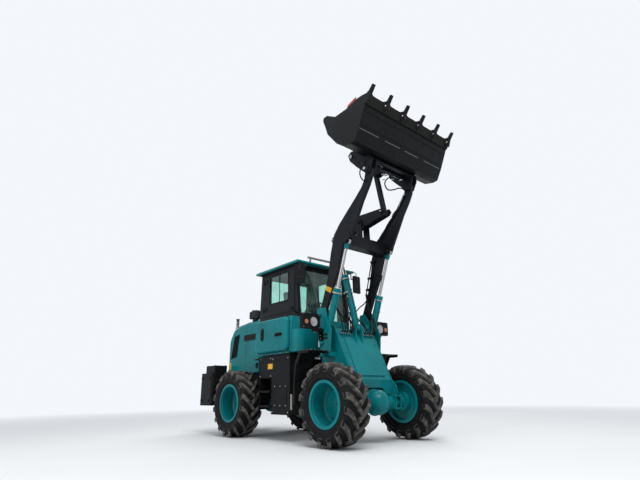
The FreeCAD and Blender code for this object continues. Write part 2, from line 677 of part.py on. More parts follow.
def rear_frame():
    """Rear frame: two rails, cross members and the forked hinge leaves."""
    parts = both_sides(box(CW_FRONT_X, -260, 330, 370, 760, 1090))
    for x in (-2180, -1500, -900):
        parts.append(box(x, x + 40, -335, 335, 780, 1070))
    parts += both_sides(box(AXLE_X * -1 - 95, AXLE_X * -1 + 95, 330, 440, FRAME_FOOT_Z, 765))
    for x in (-1920, -1400):
        parts += both_sides(box(x, x + 60, 285, 335, 1060, 1090))
    wall = box(-300, -260, -340, 340, 380, 1090)
    for slot in both_sides(box(-310, -250, 190, 345, 620, 760)):
        wall = wall.cut(slot)
    parts.append(wall)
    gap = MOVE_GAP
    for z in (HINGE_UPPER_Z, HINGE_LOWER_Z):
        for lo in (z + HINGE_EAR_T / 2 + gap, z - HINGE_EAR_T / 2 - gap - HINGE_LEAF_T):
            hi = lo + HINGE_LEAF_T
            parts.append(plan([(-262, -200), (0, -HINGE_EAR_R), (0, HINGE_EAR_R), (-262, 200)], lo, hi))
            parts.append(bar_z(0, 0, HINGE_EAR_R, lo, hi))
        parts.append(bar_z(0, 0, HINGE_PIN_R, z - 60, z + 60))
    for s in (1, -1):
        y = s * STEER_BASE[1]
        for lo in (STEER_Z - STEER_PLATE_Z - 18, STEER_Z + STEER_PLATE_Z):
            parts.append(box(-520, STEER_BASE[0] + 45, min(y - 45, y + 45), max(y - 45, y + 45), lo, lo + 18))
        parts.append(bar_z(STEER_BASE[0], y, EYE_PIN_R, STEER_Z - 66, STEER_Z + 66))
    parts.append(box(-560, -515, -345, 345, STEER_Z - 60, 800))
    # posts that carry the cab platform
    parts += both_sides(box(-760, -680, 330, 400, 1080, DECK_Z - DECK_T))
    parts += both_sides(box(-300, -220, 330, 400, 1080, DECK_Z - DECK_T))
    # ears and pins of the hood's hinge
    hx, hz = HOOD_HINGE
    for lo in (HOOD_LUG_Y - 30, HOOD_LUG_Y + 31):
        parts += both_sides(slab([(hx - 20, 1060), (hx - 14, hz + 14), (hx + 14, hz + 14), (hx + 20, 1060)],
                                 lo, lo + 24))
    parts += both_sides(bar_y(hx, hz, 10, HOOD_LUG_Y - 30, HOOD_LUG_Y + 55))
    parts += both_sides(box(hx - 20, hx + 20, 368, HOOD_LUG_Y + 55, 1060, 1085))
    return union(parts)


def counterweight():
    """Cast block across the tail, with the tow jaw and two boxes on top."""
    block = box(CW_REAR_X, CW_FRONT_X, -CW_HALF_W, CW_HALF_W, CW_BOTTOM_Z, CW_TOP_Z)
    edges = [e for e in block.Edges if abs(e.Vertexes[0].Z - e.Vertexes[1].Z) > 100]
    block = block.makeFillet(45, edges)
    jaw = box(CW_REAR_X - 1, CW_REAR_X + 150, -110, 110, 700, 790)
    block = block.cut(jaw)
    x = CW_REAR_X + 70
    block = block.cut(bar_z(x, 0, TOW_PIN_R, TOW_SEAT_Z[0], TOW_SEAT_Z[1]))
    # wider hole above, through which the pin is dropped in
    block = block.cut(bar_z(x, 0, TOW_PIN_R + 14, TOW_SEAT_Z[1], CW_TOP_Z + 1))
    tops = both_sides(box(CW_REAR_X + 60, CW_FRONT_X - 40, 575, 850, CW_TOP_Z - 1, CW_TOP_Z + 150))
    return union([block] + tops)


def engine_block():
    return box(-1980, -1280, -300, 300, 1090, 1700)


def inset(points, t):
    """Closed (x, z) outline, clockwise as HOOD_SIDE, moved inwards by t on every side."""
    out = []
    count = len(points)
    for i in range(count):
        p = V(points[i][0], 0, points[i][1])
        before = (p - V(points[i - 1][0], 0, points[i - 1][1])).normalize()
        n = points[(i + 1) % count]
        after = (V(n[0], 0, n[1]) - p).normalize()
        n0 = V(before.z, 0, -before.x)
        n1 = V(after.z, 0, -after.x)
        mid = (n0 + n1).normalize()
        q = p + mid * (t / mid.dot(n0))
        out.append((q.x, q.z))
    return out


def shouldered(points, half, radius, low):
    """Slab of the outline, with its upper long edges rounded above the height low."""
    solid = slab(points, -half, half)
    edges = []
    for e in solid.Edges:
        a = e.Vertexes[0].Point
        b = e.Vertexes[1].Point
        if abs(a.y - b.y) < 1 and abs(abs(a.y) - half) < 1 and min(a.z, b.z) > low:
            edges.append(e)
    return solid.makeFillet(radius, edges)


def hood():
    """One-piece engine hood: an open shell with rounded shoulders and the lugs of its hinge."""
    w = HOOD_WALL
    outer = shouldered(HOOD_SIDE, HOOD_HALF_W, HOOD_SHOULDER_R, 1850)
    inner = shouldered(inset(HOOD_SIDE, w), HOOD_HALF_W - w, HOOD_SHOULDER_R - w, 1850)
    mouth = slab([(-2158, 1000), (-2158, 1230), (-1074, 1230), (-1074, 1000)], -HOOD_HALF_W + w, HOOD_HALF_W - w)
    shell = outer.cut(inner.fuse(mouth))
    hx, hz = HOOD_HINGE
    lug = [(hx - 16, hz), (hx - 20, 1230), (hx + 40, 1230), (hx + 16, hz - 5), (hx, hz - 18)]
    lugs = both_sides(slab(lug, HOOD_LUG_Y, HOOD_LUG_Y + 25))
    shell = shell.cut(slab([(-2200, 1100), (-2200, 1190), (-2100, 1190), (-2100, 1100)], -500, 500))
    return union([shell] + lugs).cut(bar_y(hx, hz, 10 + PIN_FIT, -500, 500))


def hood_grilles():
    """Slanted louvred grilles on the hood's sides and the radiator grille on its tail."""
    out = []
    t = 8.0
    for s in (1, -1):
        y = sorted((s * HOOD_HALF_W, s * (HOOD_HALF_W + t)))
        out.append(slab(SIDE_GRILLE, y[0], y[1]))
    z0, z1, half = TAIL_GRILLE
    slope = (-2165 + 2175) / (1700 - 1185)
    x0 = -2175 + slope * (z0 - 1185)
    x1 = -2175 + slope * (z1 - 1185)
    out.append(slab([(x0, z0), (x0 - t, z0), (x1 - t, z1), (x1, z1)], -half, half))
    return out


def stacks():
    """Exhaust pipe and the air pre-cleaner on the hood."""
    pipe_up = bar_z(-2030, -480, 30, 2030, 2230)
    cap = bar_z(-2030, -480, 40, 2225, 2240)
    neck = bar_z(-1400, -440, 60, 2105, 2180)
    dome = bar_z(-1400, -440, 125, 2170, 2300)
    top = bar_z(-1400, -440, 85, 2295, 2335)
    cover = shouldered(HOOD_SIDE, HOOD_HALF_W, HOOD_SHOULDER_R, 1850)
    return [union([pipe_up, cap]).cut(cover), union([neck, dome, top]).cut(cover)]


def platform():
    """Cab platform: deck, rounded front boxes, toolbox on the right."""
    parts = [box(-1020, 250, -CAB_HALF_W, DECK_HALF_W, DECK_Z - DECK_T, DECK_Z)]
    front = box(240, 445, -DECK_HALF_W, DECK_HALF_W, 1380, 1750)
    edges = []
    for e in front.Edges:
        a = e.Vertexes[0].Point
        if abs(e.Vertexes[0].Z - e.Vertexes[1].Z) > 100 and a.x > 400:
            edges.append(e)
    parts.append(front.makeFillet(170, edges))
    tool = box(TOOL_FIELD_X[0] - 35, TOOL_FRONT_X, -TOOL_Y, -CAB_HALF_W - 1, 1400, 1980)
    corner = [e for e in tool.Edges if abs(e.Vertexes[0].Z - e.Vertexes[1].Z) > 100
              and e.Vertexes[0].X > 200 and e.Vertexes[0].Y < -TOOL_Y + 1]
    tool = tool.makeFillet(40, corner)
    edges = []
    for e in tool.Edges:
        a = e.Vertexes[0].Point
        b = e.Vertexes[1].Point
        if abs(a.y - b.y) > 100 and abs(a.z - b.z) < 1 and a.x < 0:
            edges.append(e)
    parts.append(tool.makeFillet(70, edges))
    parts.append(box(TOOL_FIELD_X[0], 200, -DECK_HALF_W, -CAB_HALF_W + 1, 1370, 1410))
    face = -TOOL_Y - TOOL_FIELD_T
    field = box(TOOL_FIELD_X[0], TOOL_FIELD_X[1], face, -TOOL_Y + 1, TOOL_FIELD_Z[0], TOOL_FIELD_Z[1])
    corners = [e for e in field.Edges if abs(e.Length - TOOL_FIELD_T - 1) < 0.01]
    field = field.makeFillet(85, corners)
    rim_edges = [e for e in field.Edges if e.BoundBox.YMax < face + 0.1]
    parts.append(field.makeFillet(38, rim_edges))
    return union(parts)


def side_tanks():
    """Tank and ladder between the wheels, one set on each side, hung from the platform."""
    parts = [box(TANK_X[0], TANK_X[1], TANK_Y[0], TANK_Y[1], 400, 1330)]
    x0 = TANK_X[0] - LADDER_L
    parts.append(box(x0, TANK_X[0], TANK_Y[0], TANK_Y[1], 980, 1330))
    parts.append(box(x0, x0 + 12, TANK_Y[0] + 120, TANK_Y[1], 470, 985))
    # splash plate over the front of the rear tyre
    guard = [(x0 + 20, GUARD_Y[1]), (x0 - 60, GUARD_Y[1]), (x0 - GUARD_L, GUARD_Y[1] - 80),
             (x0 - GUARD_L, GUARD_Y[0]), (x0 + 20, GUARD_Y[0])]
    parts.append(plan(guard, 1330 - GUARD_T, 1330))
    for z in STEP_Z:
        parts.append(box(x0, TANK_X[0] + 5, TANK_Y[1] - 170, TANK_Y[1] + STEP_OUT, z, z + 26))
    parts.append(box(-500, 200, TANK_Y[0], 780, 1329, DECK_Z - DECK_T))
    return both_sides(union(parts))


def cab_frame():
    """Hollow cab: pillars and walls with the door and window openings cut."""
    w = CAB_WALL
    outer = slab(CAB_SIDE, -CAB_HALF_W, CAB_HALF_W)
    inner_pts = [(-1020 + w, 1440 + 12), (-930 + w, CAB_TOP_Z + 1), (170 - w, CAB_TOP_Z + 1), (225 - w, 2200),
                 (215 - w, 1452)]
    body = outer.cut(slab(inner_pts, -CAB_HALF_W + w, CAB_HALF_W - w))
    body = body.cut(box(50, 400, -CAB_HALF_W + 60, CAB_HALF_W - 60, 1780, CAB_TOP_Z - 60))
    body = body.cut(box(-1100, -800, -CAB_HALF_W + 90, CAB_HALF_W - 90, 2200, CAB_TOP_Z - 70))
    body = body.cut(door_hole(1))
    body = body.cut(door_hole(-1))
    return body


def door_hole(side):
    y = sorted((side * (CAB_HALF_W - CAB_WALL - 1), side * (CAB_HALF_W + 1)))
    return box(DOOR_X[0], DOOR_X[1], y[0], y[1], DOOR_LOW[side], DOOR_TOP)


def door(side):
    """Door panel with its window cut out, and its glass."""
    g = DOOR_GAP
    y = sorted((side * (CAB_HALF_W - DOOR_T), side * CAB_HALF_W))
    low = DOOR_LOW[side]
    panel = box(DOOR_X[0] + g, DOOR_X[1] - g, y[0], y[1], low + g, DOOR_TOP - g)
    wx = (-655.0, -60.0)
    wz = (low + 225 if side < 0 else low + 330, DOOR_TOP - 55)
    panel = panel.cut(box(wx[0], wx[1], y[0] - 1, y[1] + 1, wz[0], wz[1]))
    hinge_x = DOOR_X[0] - 12
    knuckles = []
    for z in (low + 120, DOOR_TOP - 160):
        yk = side * (CAB_HALF_W + 16)
        arm_y = sorted((side * (CAB_HALF_W + 3), side * (CAB_HALF_W + 16)))
        pad_y = sorted((side * (CAB_HALF_W - 2), side * (CAB_HALF_W + 16)))
        knuckles.append(bar_z(hinge_x, yk, 13, z, z + 60))
        knuckles.append(box(hinge_x, hinge_x + 90, arm_y[0], arm_y[1], z, z + 60))
        knuckles.append(box(DOOR_X[0] + g, hinge_x + 90, pad_y[0], pad_y[1], z, z + 60))
    panel = union([panel] + knuckles)
    for z in (low + 120, DOOR_TOP - 160):
        panel = panel.cut(bar_z(hinge_x, side * (CAB_HALF_W + 16), 7 + PIN_FIT, z - 1, z + 61))
    gy = side * (CAB_HALF_W - DOOR_T / 2)
    glass = box(wx[0], wx[1], gy - GLASS_T / 2, gy + GLASS_T / 2, wz[0], wz[1])
    return panel, glass


def door_pins(side):
    """Hinge pins with their brackets on the cab's pillar."""
    hinge_x = DOOR_X[0] - 12
    yk = side * (CAB_HALF_W + 16)
    out = []
    for z in (DOOR_LOW[side] + 120, DOOR_TOP - 160):
        y = sorted((side * (CAB_HALF_W - 1), side * (CAB_HALF_W + 24)))
        for lo in (z - 14, z + 60 + 2):
            out.append(box(hinge_x - 30, hinge_x + 9, y[0], y[1], lo, lo + 12))
        out.append(bar_z(hinge_x, yk, 7, z - 14, z + 74))
    return out


def roof():
    """Roof cap with a bevelled edge, a low crown and the bar of the work lamps."""
    low = box(-1030, 320, -ROOF_HALF_W, ROOF_HALF_W, CAB_TOP_Z, CAB_TOP_Z + 35)
    top = Part.makeLoft([
        rect(-1030, 320, ROOF_HALF_W, CAB_TOP_Z + 34.9),
        rect(-985, 275, ROOF_HALF_W - 45, ROOF_TOP_Z - 18),
    ], True, True)
    crown = Part.makeLoft([
        rect(-985, 275, ROOF_HALF_W - 45, ROOF_TOP_Z - 18.1),
        rect(-880, 170, ROOF_HALF_W - 150, ROOF_TOP_Z),
    ], True, True)
    return union([low, top, crown])


def roof_bar():
    """Round bar across the front of the roof, on two feet."""
    x, z = ROOF_BAR
    bar = bar_y(x, z, ROOF_BAR_R, -ROOF_BAR_HALF, ROOF_BAR_HALF)
    feet = both_sides(box(x - 8, x + 8, ROOF_BAR_HALF - 70, ROOF_BAR_HALF - 40, CAB_TOP_Z + 34.5, z))
    return union([bar] + feet)


def rect(x0, x1, half, z):
    pts = [V(x0, -half, z), V(x1, -half, z), V(x1, half, z), V(x0, half, z)]
    return Part.makePolygon(pts + [pts[0]])


def cab_glass():
    """Windscreen and rear window."""
    screen = slab([(150, 1780), (156, 1780), (176, 2200), (137, CAB_TOP_Z - 60), (131, CAB_TOP_Z - 60), (170, 2200)],
                  -CAB_HALF_W + 60, CAB_HALF_W - 60)
    z0 = 2200
    z1 = CAB_TOP_Z - 70
    slope = 90 / (CAB_TOP_Z - 1440)
    xa = -1020 + slope * (z0 - 1440) + 18
    xb = -1020 + slope * (z1 - 1440) + 18
    back = slab([(xa, z0), (xb, z1), (xb + GLASS_T, z1), (xa + GLASS_T, z0)], -CAB_HALF_W + 90, CAB_HALF_W - 90)
    return [screen, back]


def seat():
    """Operator's seat with its base, cushion, back and headrest."""
    base = box(-700, -330, -180, 180, 1452, 1800)
    cushion = box(-760, -230, -250, 250, 1799, 1930)
    back = slab([(-780, 1925), (-640, 1925), (-740, 2500), (-850, 2500)], -240, 240)
    head = slab([(-845, 2495), (-765, 2495), (-790, 2690), (-860, 2690)], -140, 140)
    return union([base, cushion, back, head])


def console():
    """Dashboard column with the steering wheel."""
    column = slab([(60, 1452), (150, 1452), (120, 2100), (-20, 2130), (-20, 2060)], -150, 150)
    shaft = pipe((20, 0, 2080), (-60, 0, 2200), 22)
    wheel = Part.makeTorus(190, 16, V(-60, 0, 2200), V(-0.55, 0, 0.83))
    spoke = pipe((-60, -190, 2200), (-60, 190, 2200), 11)
    return union([column, shaft, wheel, spoke])


def mirrors():
    """Rear-view mirrors, turned outwards, on brackets from the front corners of the roof."""
    out = []
    for s, across, turn in MIRRORS:
        y = s * across
        head = box(-16, 16, -MIRROR_W / 2, MIRROR_W / 2, MIRROR_Z[0], MIRROR_Z[1])
        upright = [e for e in head.Edges if abs(e.Length - 32) < 0.01]
        head = head.makeFillet(28, upright)
        head.rotate(V(0, 0, 0), V(0, 0, 1), s * turn)
        head.translate(V(MIRROR_X, y, 0))
        arm = pipe((300, s * (ROOF_HALF_W - 60), MIRROR_Z[1] - 60), (MIRROR_X, y, MIRROR_Z[1] - 60), 9)
        post = bar_z(300, s * (ROOF_HALF_W - 60), 10, MIRROR_Z[1] - 70, CAB_TOP_Z)
        out.append(union([head, arm, post]))
    return out


def build():
    os.makedirs("parts", exist_ok=True)
    tyre = tyre_at_origin()
    for end, x in (("front", AXLE_X), ("rear", -AXLE_X)):
        for name, side in (("left", 1), ("right", -1)):
            save(tyre.translated(V(x, side * TRACK / 2, TYRE_R)), "tyre_" + end + "_" + name)
            save(rim(x, side), "rim_" + end + "_" + name)
        save(axle(x), end + "_axle")
    save(front_frame(), "front_frame")
    save(Part.makeCompound(fenders()), "front_fenders")
    save(Part.makeCompound(front_lamps()), "front_lamps")
    save(rear_frame(), "rear_frame")
    save(counterweight(), "counterweight")
    save(engine_block(), "engine_block")
    save(hood(), "hood")
    save(Part.makeCompound(stacks()), "hood_stacks")
    save(Part.makeCompound(hood_grilles()), "hood_grilles")
    save(platform(), "platform")
    save(Part.makeCompound(side_tanks()), "side_tanks")
    save(union([cab_frame()] + door_pins(1) + door_pins(-1)), "cab_frame")
    cap = roof()
    save(cap, "cab_roof")
    save(roof_bar().cut(cap), "roof_bar")
    save(Part.makeCompound(cab_glass()), "cab_glass")
    for name, side in (("left", 1), ("right", -1)):
        panel, glass = door(side)
        save(panel, "door_" + name)
        save(glass, "door_glass_" + name)
    save(seat(), "seat")
    save(console(), "steering_console")
    save(Part.makeCompound(mirrors()), "mirrors")
    save(boom(), "boom")
    save(rocker(), "rocker")
    save(tilt_link(), "tilt_link")
    shell = bucket()
    save(coupler().cut(shell), "coupler")
    save(shell, "bucket")
    save(teeth().cut(shell), "bucket_teeth")
    for name, side in (("left", 1), ("right", -1)):
        barrel, rod = cylinder(LIFT_BASE, LIFT_EYE, side * ARM_Y, LIFT_BARREL_R, LIFT_ROD_R, 915, 765, EYE_R, 22)
        save(barrel, "lift_barrel_" + name)
        save(rod, "lift_rod_" + name)
        barrel, rod = steer_cylinder(side)
        save(barrel, "steer_barrel_" + name)
        save(rod, "steer_rod_" + name)
    barrel, rod = cylinder(TILT_BASE, ROCKER_REAR, 0, TILT_BARREL_R, TILT_ROD_R, 975, 480, 52, 42)
    save(barrel, "tilt_barrel")
    save(rod, "tilt_rod")


build()
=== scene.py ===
"""Looks of an articulated wheel loader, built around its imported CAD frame.

Metres, +X forward, +Y the machine's left, +Z up, the ground at Z = 0.
"""
import itertools
import math
import random

import bmesh
import bpy
from mathutils import Matrix, Vector


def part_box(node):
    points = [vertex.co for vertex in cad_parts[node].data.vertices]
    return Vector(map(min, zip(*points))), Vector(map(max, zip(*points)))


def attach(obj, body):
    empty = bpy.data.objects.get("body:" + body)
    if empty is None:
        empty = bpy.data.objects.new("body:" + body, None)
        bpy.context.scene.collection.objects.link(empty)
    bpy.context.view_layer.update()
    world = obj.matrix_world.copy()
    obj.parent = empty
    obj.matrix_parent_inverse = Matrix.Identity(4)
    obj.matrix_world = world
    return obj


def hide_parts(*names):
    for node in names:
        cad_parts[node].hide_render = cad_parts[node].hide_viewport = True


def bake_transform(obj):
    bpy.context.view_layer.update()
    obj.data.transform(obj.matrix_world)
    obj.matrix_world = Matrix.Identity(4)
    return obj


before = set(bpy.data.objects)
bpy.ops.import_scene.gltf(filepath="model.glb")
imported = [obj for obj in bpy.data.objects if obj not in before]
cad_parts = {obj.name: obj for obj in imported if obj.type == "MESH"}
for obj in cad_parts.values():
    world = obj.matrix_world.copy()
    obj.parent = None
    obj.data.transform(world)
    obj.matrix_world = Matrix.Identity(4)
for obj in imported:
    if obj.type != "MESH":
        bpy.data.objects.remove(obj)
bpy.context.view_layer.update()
random.seed(7)
V = Vector
SIDES = (1, -1)
SIDE_NAME = {1: "left", -1: "right"}
X_AXIS = V((1, 0, 0))
Y_AXIS = V((0, 1, 0))
Z_AXIS = V((0, 0, 1))

# Camera, fitted to the photograph: place, yaw, pitch and roll in degrees, focal length in millimetres
CAMERA_AT = V((6.255, -5.366, 0.74))
CAMERA_TURN = (138.8, 19.04, -0.98)
CAMERA_LENS = 24.77

# Studio: level of the world as a light and as seen, and where the floor fades into the backdrop
WORLD_PLAIN = 0.50
WORLD_SEEN = 0.97
FLOOR_FADE = (5.5, 17.0)
LAMPS = [
    # name, place, target, size, watts
    ("key", (5.5, -3.0, 9.5), (0.5, 0.0, 2.0), 6.0, 760.0),
    ("sky", (0.5, 0.5, 13.0), (0.5, 0.0, 0.0), 9.0, 640.0),
    ("fill", (1.0, -10.0, 4.5), (0.0, 0.0, 1.8), 7.0, 220.0),
    ("rim", (-5.0, 7.0, 8.0), (0.5, 0.0, 2.5), 6.0, 380.0),
]

# Colours, linear
TEAL = (0.0010, 0.160, 0.175)
CHARCOAL = (0.0065, 0.0076, 0.0105)
BLACK = (0.0045, 0.0046, 0.0052)
DUST = (0.26, 0.25, 0.23)
BACKDROP = (0.93, 0.96, 1.0)

# Wheels: axle, track, tyre, faces of the hub and disc out from the middle plane, lugs
AXLE_X = 1.315
WHEEL_Y = 0.845
TYRE_R = 0.575
TYRE_W = 0.410
HUB_FACE = -0.065
DISC_FACE = -0.099
LUGS = 16
LUG_RISE = 0.042
LUG_SWEEP = math.radians(25.0)

# Hood, its side grilles as (x, z), tail grille, exhaust and air cleaner as (x, y)
HOOD_Y = 0.560
GRILLE = [(-2.080, 1.420), (-1.970, 1.850), (-1.800, 1.885), (-1.885, 1.455)]
GRILLE_Y = 0.568
BLADE_STEP = 0.0185
TAIL_X = -2.183
TAIL_HALF = 0.400
TAIL_Z = (1.290, 1.680)
TAIL_SLOPE = 0.010 / 0.515
EXHAUST = (-2.030, -0.480)
CLEANER = (-1.400, -0.440)

# Counterweight, toolbox, tanks
CW_X = -2.660
CW_SIDE_Y = 0.930
TOOL_Y = -0.882
TANK_Y = 0.840

# Cab: side face, windscreen as (x, z), door's upper edge, mirrors
CAB_Y = 0.620
SCREEN = [(0.156, 1.780), (0.176, 2.200), (0.137, 2.890)]
SCREEN_HALF = 0.560
DOOR_TOP = 2.920
DOOR_LOW = {1: 1.470, -1: 2.100}
MIRRORS = [
    # side, distance out to the centre, turn about the upright in degrees
    (1, 0.735, 6.0), (-1, 0.690, 38.0),
]

# Front frame: sloped panel with its raised field, tower, pins as (x, z)
PANEL_TOP = V((0.960, 0, 1.725))
PANEL_FOLD = V((1.340, 0, 0.912))
PANEL_OUT = V((0.813, 0, 0.380)).normalized()
FIELD_FROM = 0.17
FIELD_TO = 0.93
FIELD_HALF = 0.320
FIELD_T = 0.010
FIELD_CORNER_R = 0.045
TOWER_Y = 0.593
BOOM_PIVOT = (0.745, 1.930)
LIFT_BASE = (0.800, 1.480)
TILT_BASE = (1.021, 1.745)

# Lamps: plane of the lenses, headlamp, indicator, box
LAMP_FACE = 0.8365
LAMP_Y = 0.792
LAMP_Z = 1.806
LAMP_R = 0.078
AMBER_Y = 0.938
AMBER_Z = 1.800
LAMP_BOX_Y = (0.658, 1.009)
LAMP_BOX_Z = (1.701, 1.934)

# Boom and linkage at rest as (x, z), inner and outer face of the arms
LIFT_EYE = (1.400, 3.079)
ROCKER_PIVOT = (1.270, 3.550)
ROCKER_FRONT = (1.789, 3.591)
ROCKER_REAR = (0.600, 3.400)
LINK_TOP = (1.655, 4.375)
BOOM_TIP = (1.970, 4.160)
ARM_IN = 0.482
ARM_OUT = 0.538
ARM_PIPE = [
    (0.858, 2.400), (0.884, 2.478), (0.942, 2.679), (1.032, 2.971), (1.100, 3.130), (1.166, 3.285),
    (1.222, 3.345), (1.300, 3.385),
]
SPRING_TURNS = 30

# Bucket: lip, rear of the edge, floor line, teeth
LIP = V((2.509, 0, 5.067))
EDGE_BACK = V((2.447, 0, 4.902))
FLOOR = (V((2.447, 0, 4.902)), V((2.292, 0, 4.548)))
BUCKET_HALF = 1.075
TEETH = 6
TEETH_SPAN = 2.098
# weld across the floor: share of the floor's depth, runs from side to side
STITCH_AT = 0.985
STITCH_RUNS = [(-1.058, -0.625), (-0.474, -0.101), (0.036, 0.383), (0.557, 1.002)]

# Fittings on the sloped panel: place across, the hose's own shift out from the panel
FITTING = PANEL_TOP + V((0.38, 0, -0.813)) * 0.120
PANEL_HOSES = [
    (-0.375, 0.000), (-0.325, 0.012), (-0.270, 0.004), (-0.215, 0.022), (-0.165, 0.000), (0.150, 0.000),
    (0.205, 0.014), (0.265, 0.000), (0.325, 0.012), (0.375, 0.002),
]


class Nodes:
    """Node tree under construction."""

    def __init__(self, tree):
        self.tree = tree

    def feed(self, socket, value):
        """Link the socket, or set it to a number, vector or colour."""
        if isinstance(value, bpy.types.NodeSocket):
            self.tree.links.new(value, socket)
        elif socket.type == "RGBA":
            socket.default_value = (*value, 1.0)
        else:
            socket.default_value = value

    def add(self, kind, sockets=None, **settings):
        node = self.tree.nodes.new(kind)
        for key, value in settings.items():
            setattr(node, key, value)
        for key, value in (sockets or {}).items():
            self.feed(node.inputs[key], value)
        return node

    def math(self, kind, a, b=0.0):
        return self.add("ShaderNodeMath", {0: a, 1: b}, operation=kind).outputs["Value"]

    def times(self, a, b):
        return self.math("MULTIPLY", a, b)

    def ramp(self, value, low, high, start=0.0, end=1.0):
        sockets = {"Value": value, "From Min": low, "From Max": high, "To Min": start, "To Max": end}
        return self.add("ShaderNodeMapRange", sockets).outputs["Result"]

    def seen(self):
        """1 for camera, glossy and transmission rays, and 0 for all others."""
        rays = self.add("ShaderNodeLightPath").outputs
        direct = self.math("MAXIMUM", rays["Is Camera Ray"], rays["Is Glossy Ray"])
        return self.math("MAXIMUM", direct, rays["Is Transmission Ray"])


class Finish(Nodes):
    """A node material under construction around one Principled shader."""

    def __init__(self, name):
        self.mat = bpy.data.materials.new(name)
        self.mat.use_nodes = True
        super().__init__(self.mat.node_tree)
        self.bsdf = self.tree.nodes["Principled BSDF"]
        self.coords = self.add("ShaderNodeTexCoord").outputs["Object"]

    def done(self, **values):
        for key, value in values.items():
            self.feed(self.bsdf.inputs[key.replace("_", " ")], value)
        return self.mat

    def noise(self, scale, detail=3.0, stretch=None):
        at = self.coords
        if stretch:
            at = self.add("ShaderNodeMapping", {"Scale": stretch, "Vector": at}).outputs["Vector"]
        sockets = {"Scale": scale, "Detail": detail, "Vector": at}
        return self.add("ShaderNodeTexNoise", sockets).outputs["Fac"]

    def wave(self, direction, scale, distortion):
        sockets = {"Scale": scale, "Distortion": distortion, "Vector": self.coords}
        return self.add("ShaderNodeTexWave", sockets, bands_direction=direction).outputs["Fac"]

    def mix(self, share, a, b):
        return self.add("ShaderNodeMix", {0: share, 6: a, 7: b}, data_type="RGBA").outputs[2]

    def bump(self, height, strength, distance, normal=None):
        sockets = {"Strength": strength, "Distance": distance, "Height": height}
        if normal is not None:
            sockets["Normal"] = normal
        return self.add("ShaderNodeBump", sockets).outputs["Normal"]

    def edge_normal(self, radius):
        return self.add("ShaderNodeBevel", {"Radius": radius}, samples=4).outputs["Normal"]

    def edges(self, normal):
        """Mask that is 1 along the edges that the bevel normal rounds."""
        plain = self.add("ShaderNodeNewGeometry").outputs["Normal"]
        dot = self.add("ShaderNodeVectorMath", {0: normal, 1: plain}, operation="DOT_PRODUCT")
        return self.ramp(dot.outputs["Value"], 0.985, 0.80)

    def part(self, vector, axis):
        return self.add("ShaderNodeSeparateXYZ", {"Vector": vector}).outputs[axis]

    def upward(self):
        """Mask that is 1 where a surface faces up."""
        return self.ramp(self.part(self.add("ShaderNodeNewGeometry").outputs["Normal"], "Z"), 0.5, 1.0)

    def height(self, low, high):
        """Mask that falls from 1 at the height low to 0 at high."""
        return self.ramp(self.part(self.coords, "Z"), low, high, 1.0, 0.0)

    def seam(self, height, half, reach):
        """Mask that is 1 on a level line along the outermost sides."""
        away = self.math("ABSOLUTE", self.math("SUBTRACT", self.part(self.coords, "Z"), height))
        aside = self.math("ABSOLUTE", self.part(self.coords, "Y"))
        line = self.ramp(away, half, half * 1.5, 1.0, 0.0)
        return self.times(line, self.ramp(aside, reach - 0.003, reach - 0.001))


def shade(colour, factor, lift=0.0):
    return tuple(min(1.0, c * factor + lift) for c in colour)


def paint(name, colour, rough, dust=0.25, wear=0.5, peel=0.12, shine=0.35, seam=None):
    """Sprayed paint: uneven tone, orange peel, dust on top and low down, worn edges."""
    f = Finish(name)
    base = f.mix(f.ramp(f.noise(1.7, 5.0), 0.3, 0.7), shade(colour, 0.84), shade(colour, 1.22, 0.002))
    edge = f.edge_normal(0.004)
    specks = f.ramp(f.noise(38.0, 6.0), 0.52, 0.66)
    base = f.mix(f.times(f.times(f.edges(edge), specks), wear), base, shade(colour, 0.6, 0.07))
    patches = f.ramp(f.noise(7.0, 6.0), 0.38, 0.75)
    lying = f.times(f.upward(), 0.55)
    low = f.times(f.height(0.25, 1.5), 0.6)
    dusty = f.times(f.times(f.math("MAXIMUM", lying, low), patches), dust)
    base = f.mix(dusty, base, DUST)
    if seam:
        base = f.mix(f.seam(*seam), base, (0.0008, 0.0008, 0.0008))
    roughness = f.math("ADD", f.ramp(patches, 0.0, 1.0, rough - 0.05, rough + 0.08), f.times(dusty, 0.5))
    normal = f.bump(f.noise(420.0, 2.0), peel, 0.0006, edge)
    return f.done(Base_Color=base, Roughness=roughness, Normal=normal, Specular_IOR_Level=shine)


def rubber(name, colour, dust, grain=220.0):
    """Rubber with fine grain, scuffs and dry dust."""
    f = Finish(name)
    scuffs = f.ramp(f.noise(14.0, 8.0), 0.42, 0.72)
    base = f.mix(f.times(scuffs, dust), colour, DUST)
    normal = f.bump(f.noise(grain, 4.0), 0.25, 0.001, f.edge_normal(0.005))
    roughness = f.ramp(scuffs, 0.0, 1.0, 0.60, 0.84)
    return f.done(Base_Color=base, Roughness=roughness, Normal=normal, Specular_IOR_Level=0.12)


def metal(name, colour, rough, brushed=(1.0, 1.0, 1.0), grime=0.25):
    """Bare metal with fine brush lines and a little grime."""
    f = Finish(name)
    streaks = f.noise(60.0, 6.0, stretch=brushed)
    stain = f.ramp(f.noise(9.0, 6.0), 0.5, 0.8)
    base = f.mix(f.times(stain, grime), colour, shade(colour, 0.35))
    roughness = f.ramp(streaks, 0.3, 0.7, rough * 0.7, rough * 1.5)
    normal = f.bump(streaks, 0.06, 0.0005, f.edge_normal(0.002))
    return f.done(Base_Color=base, Roughness=roughness, Metallic=1.0, Normal=normal)


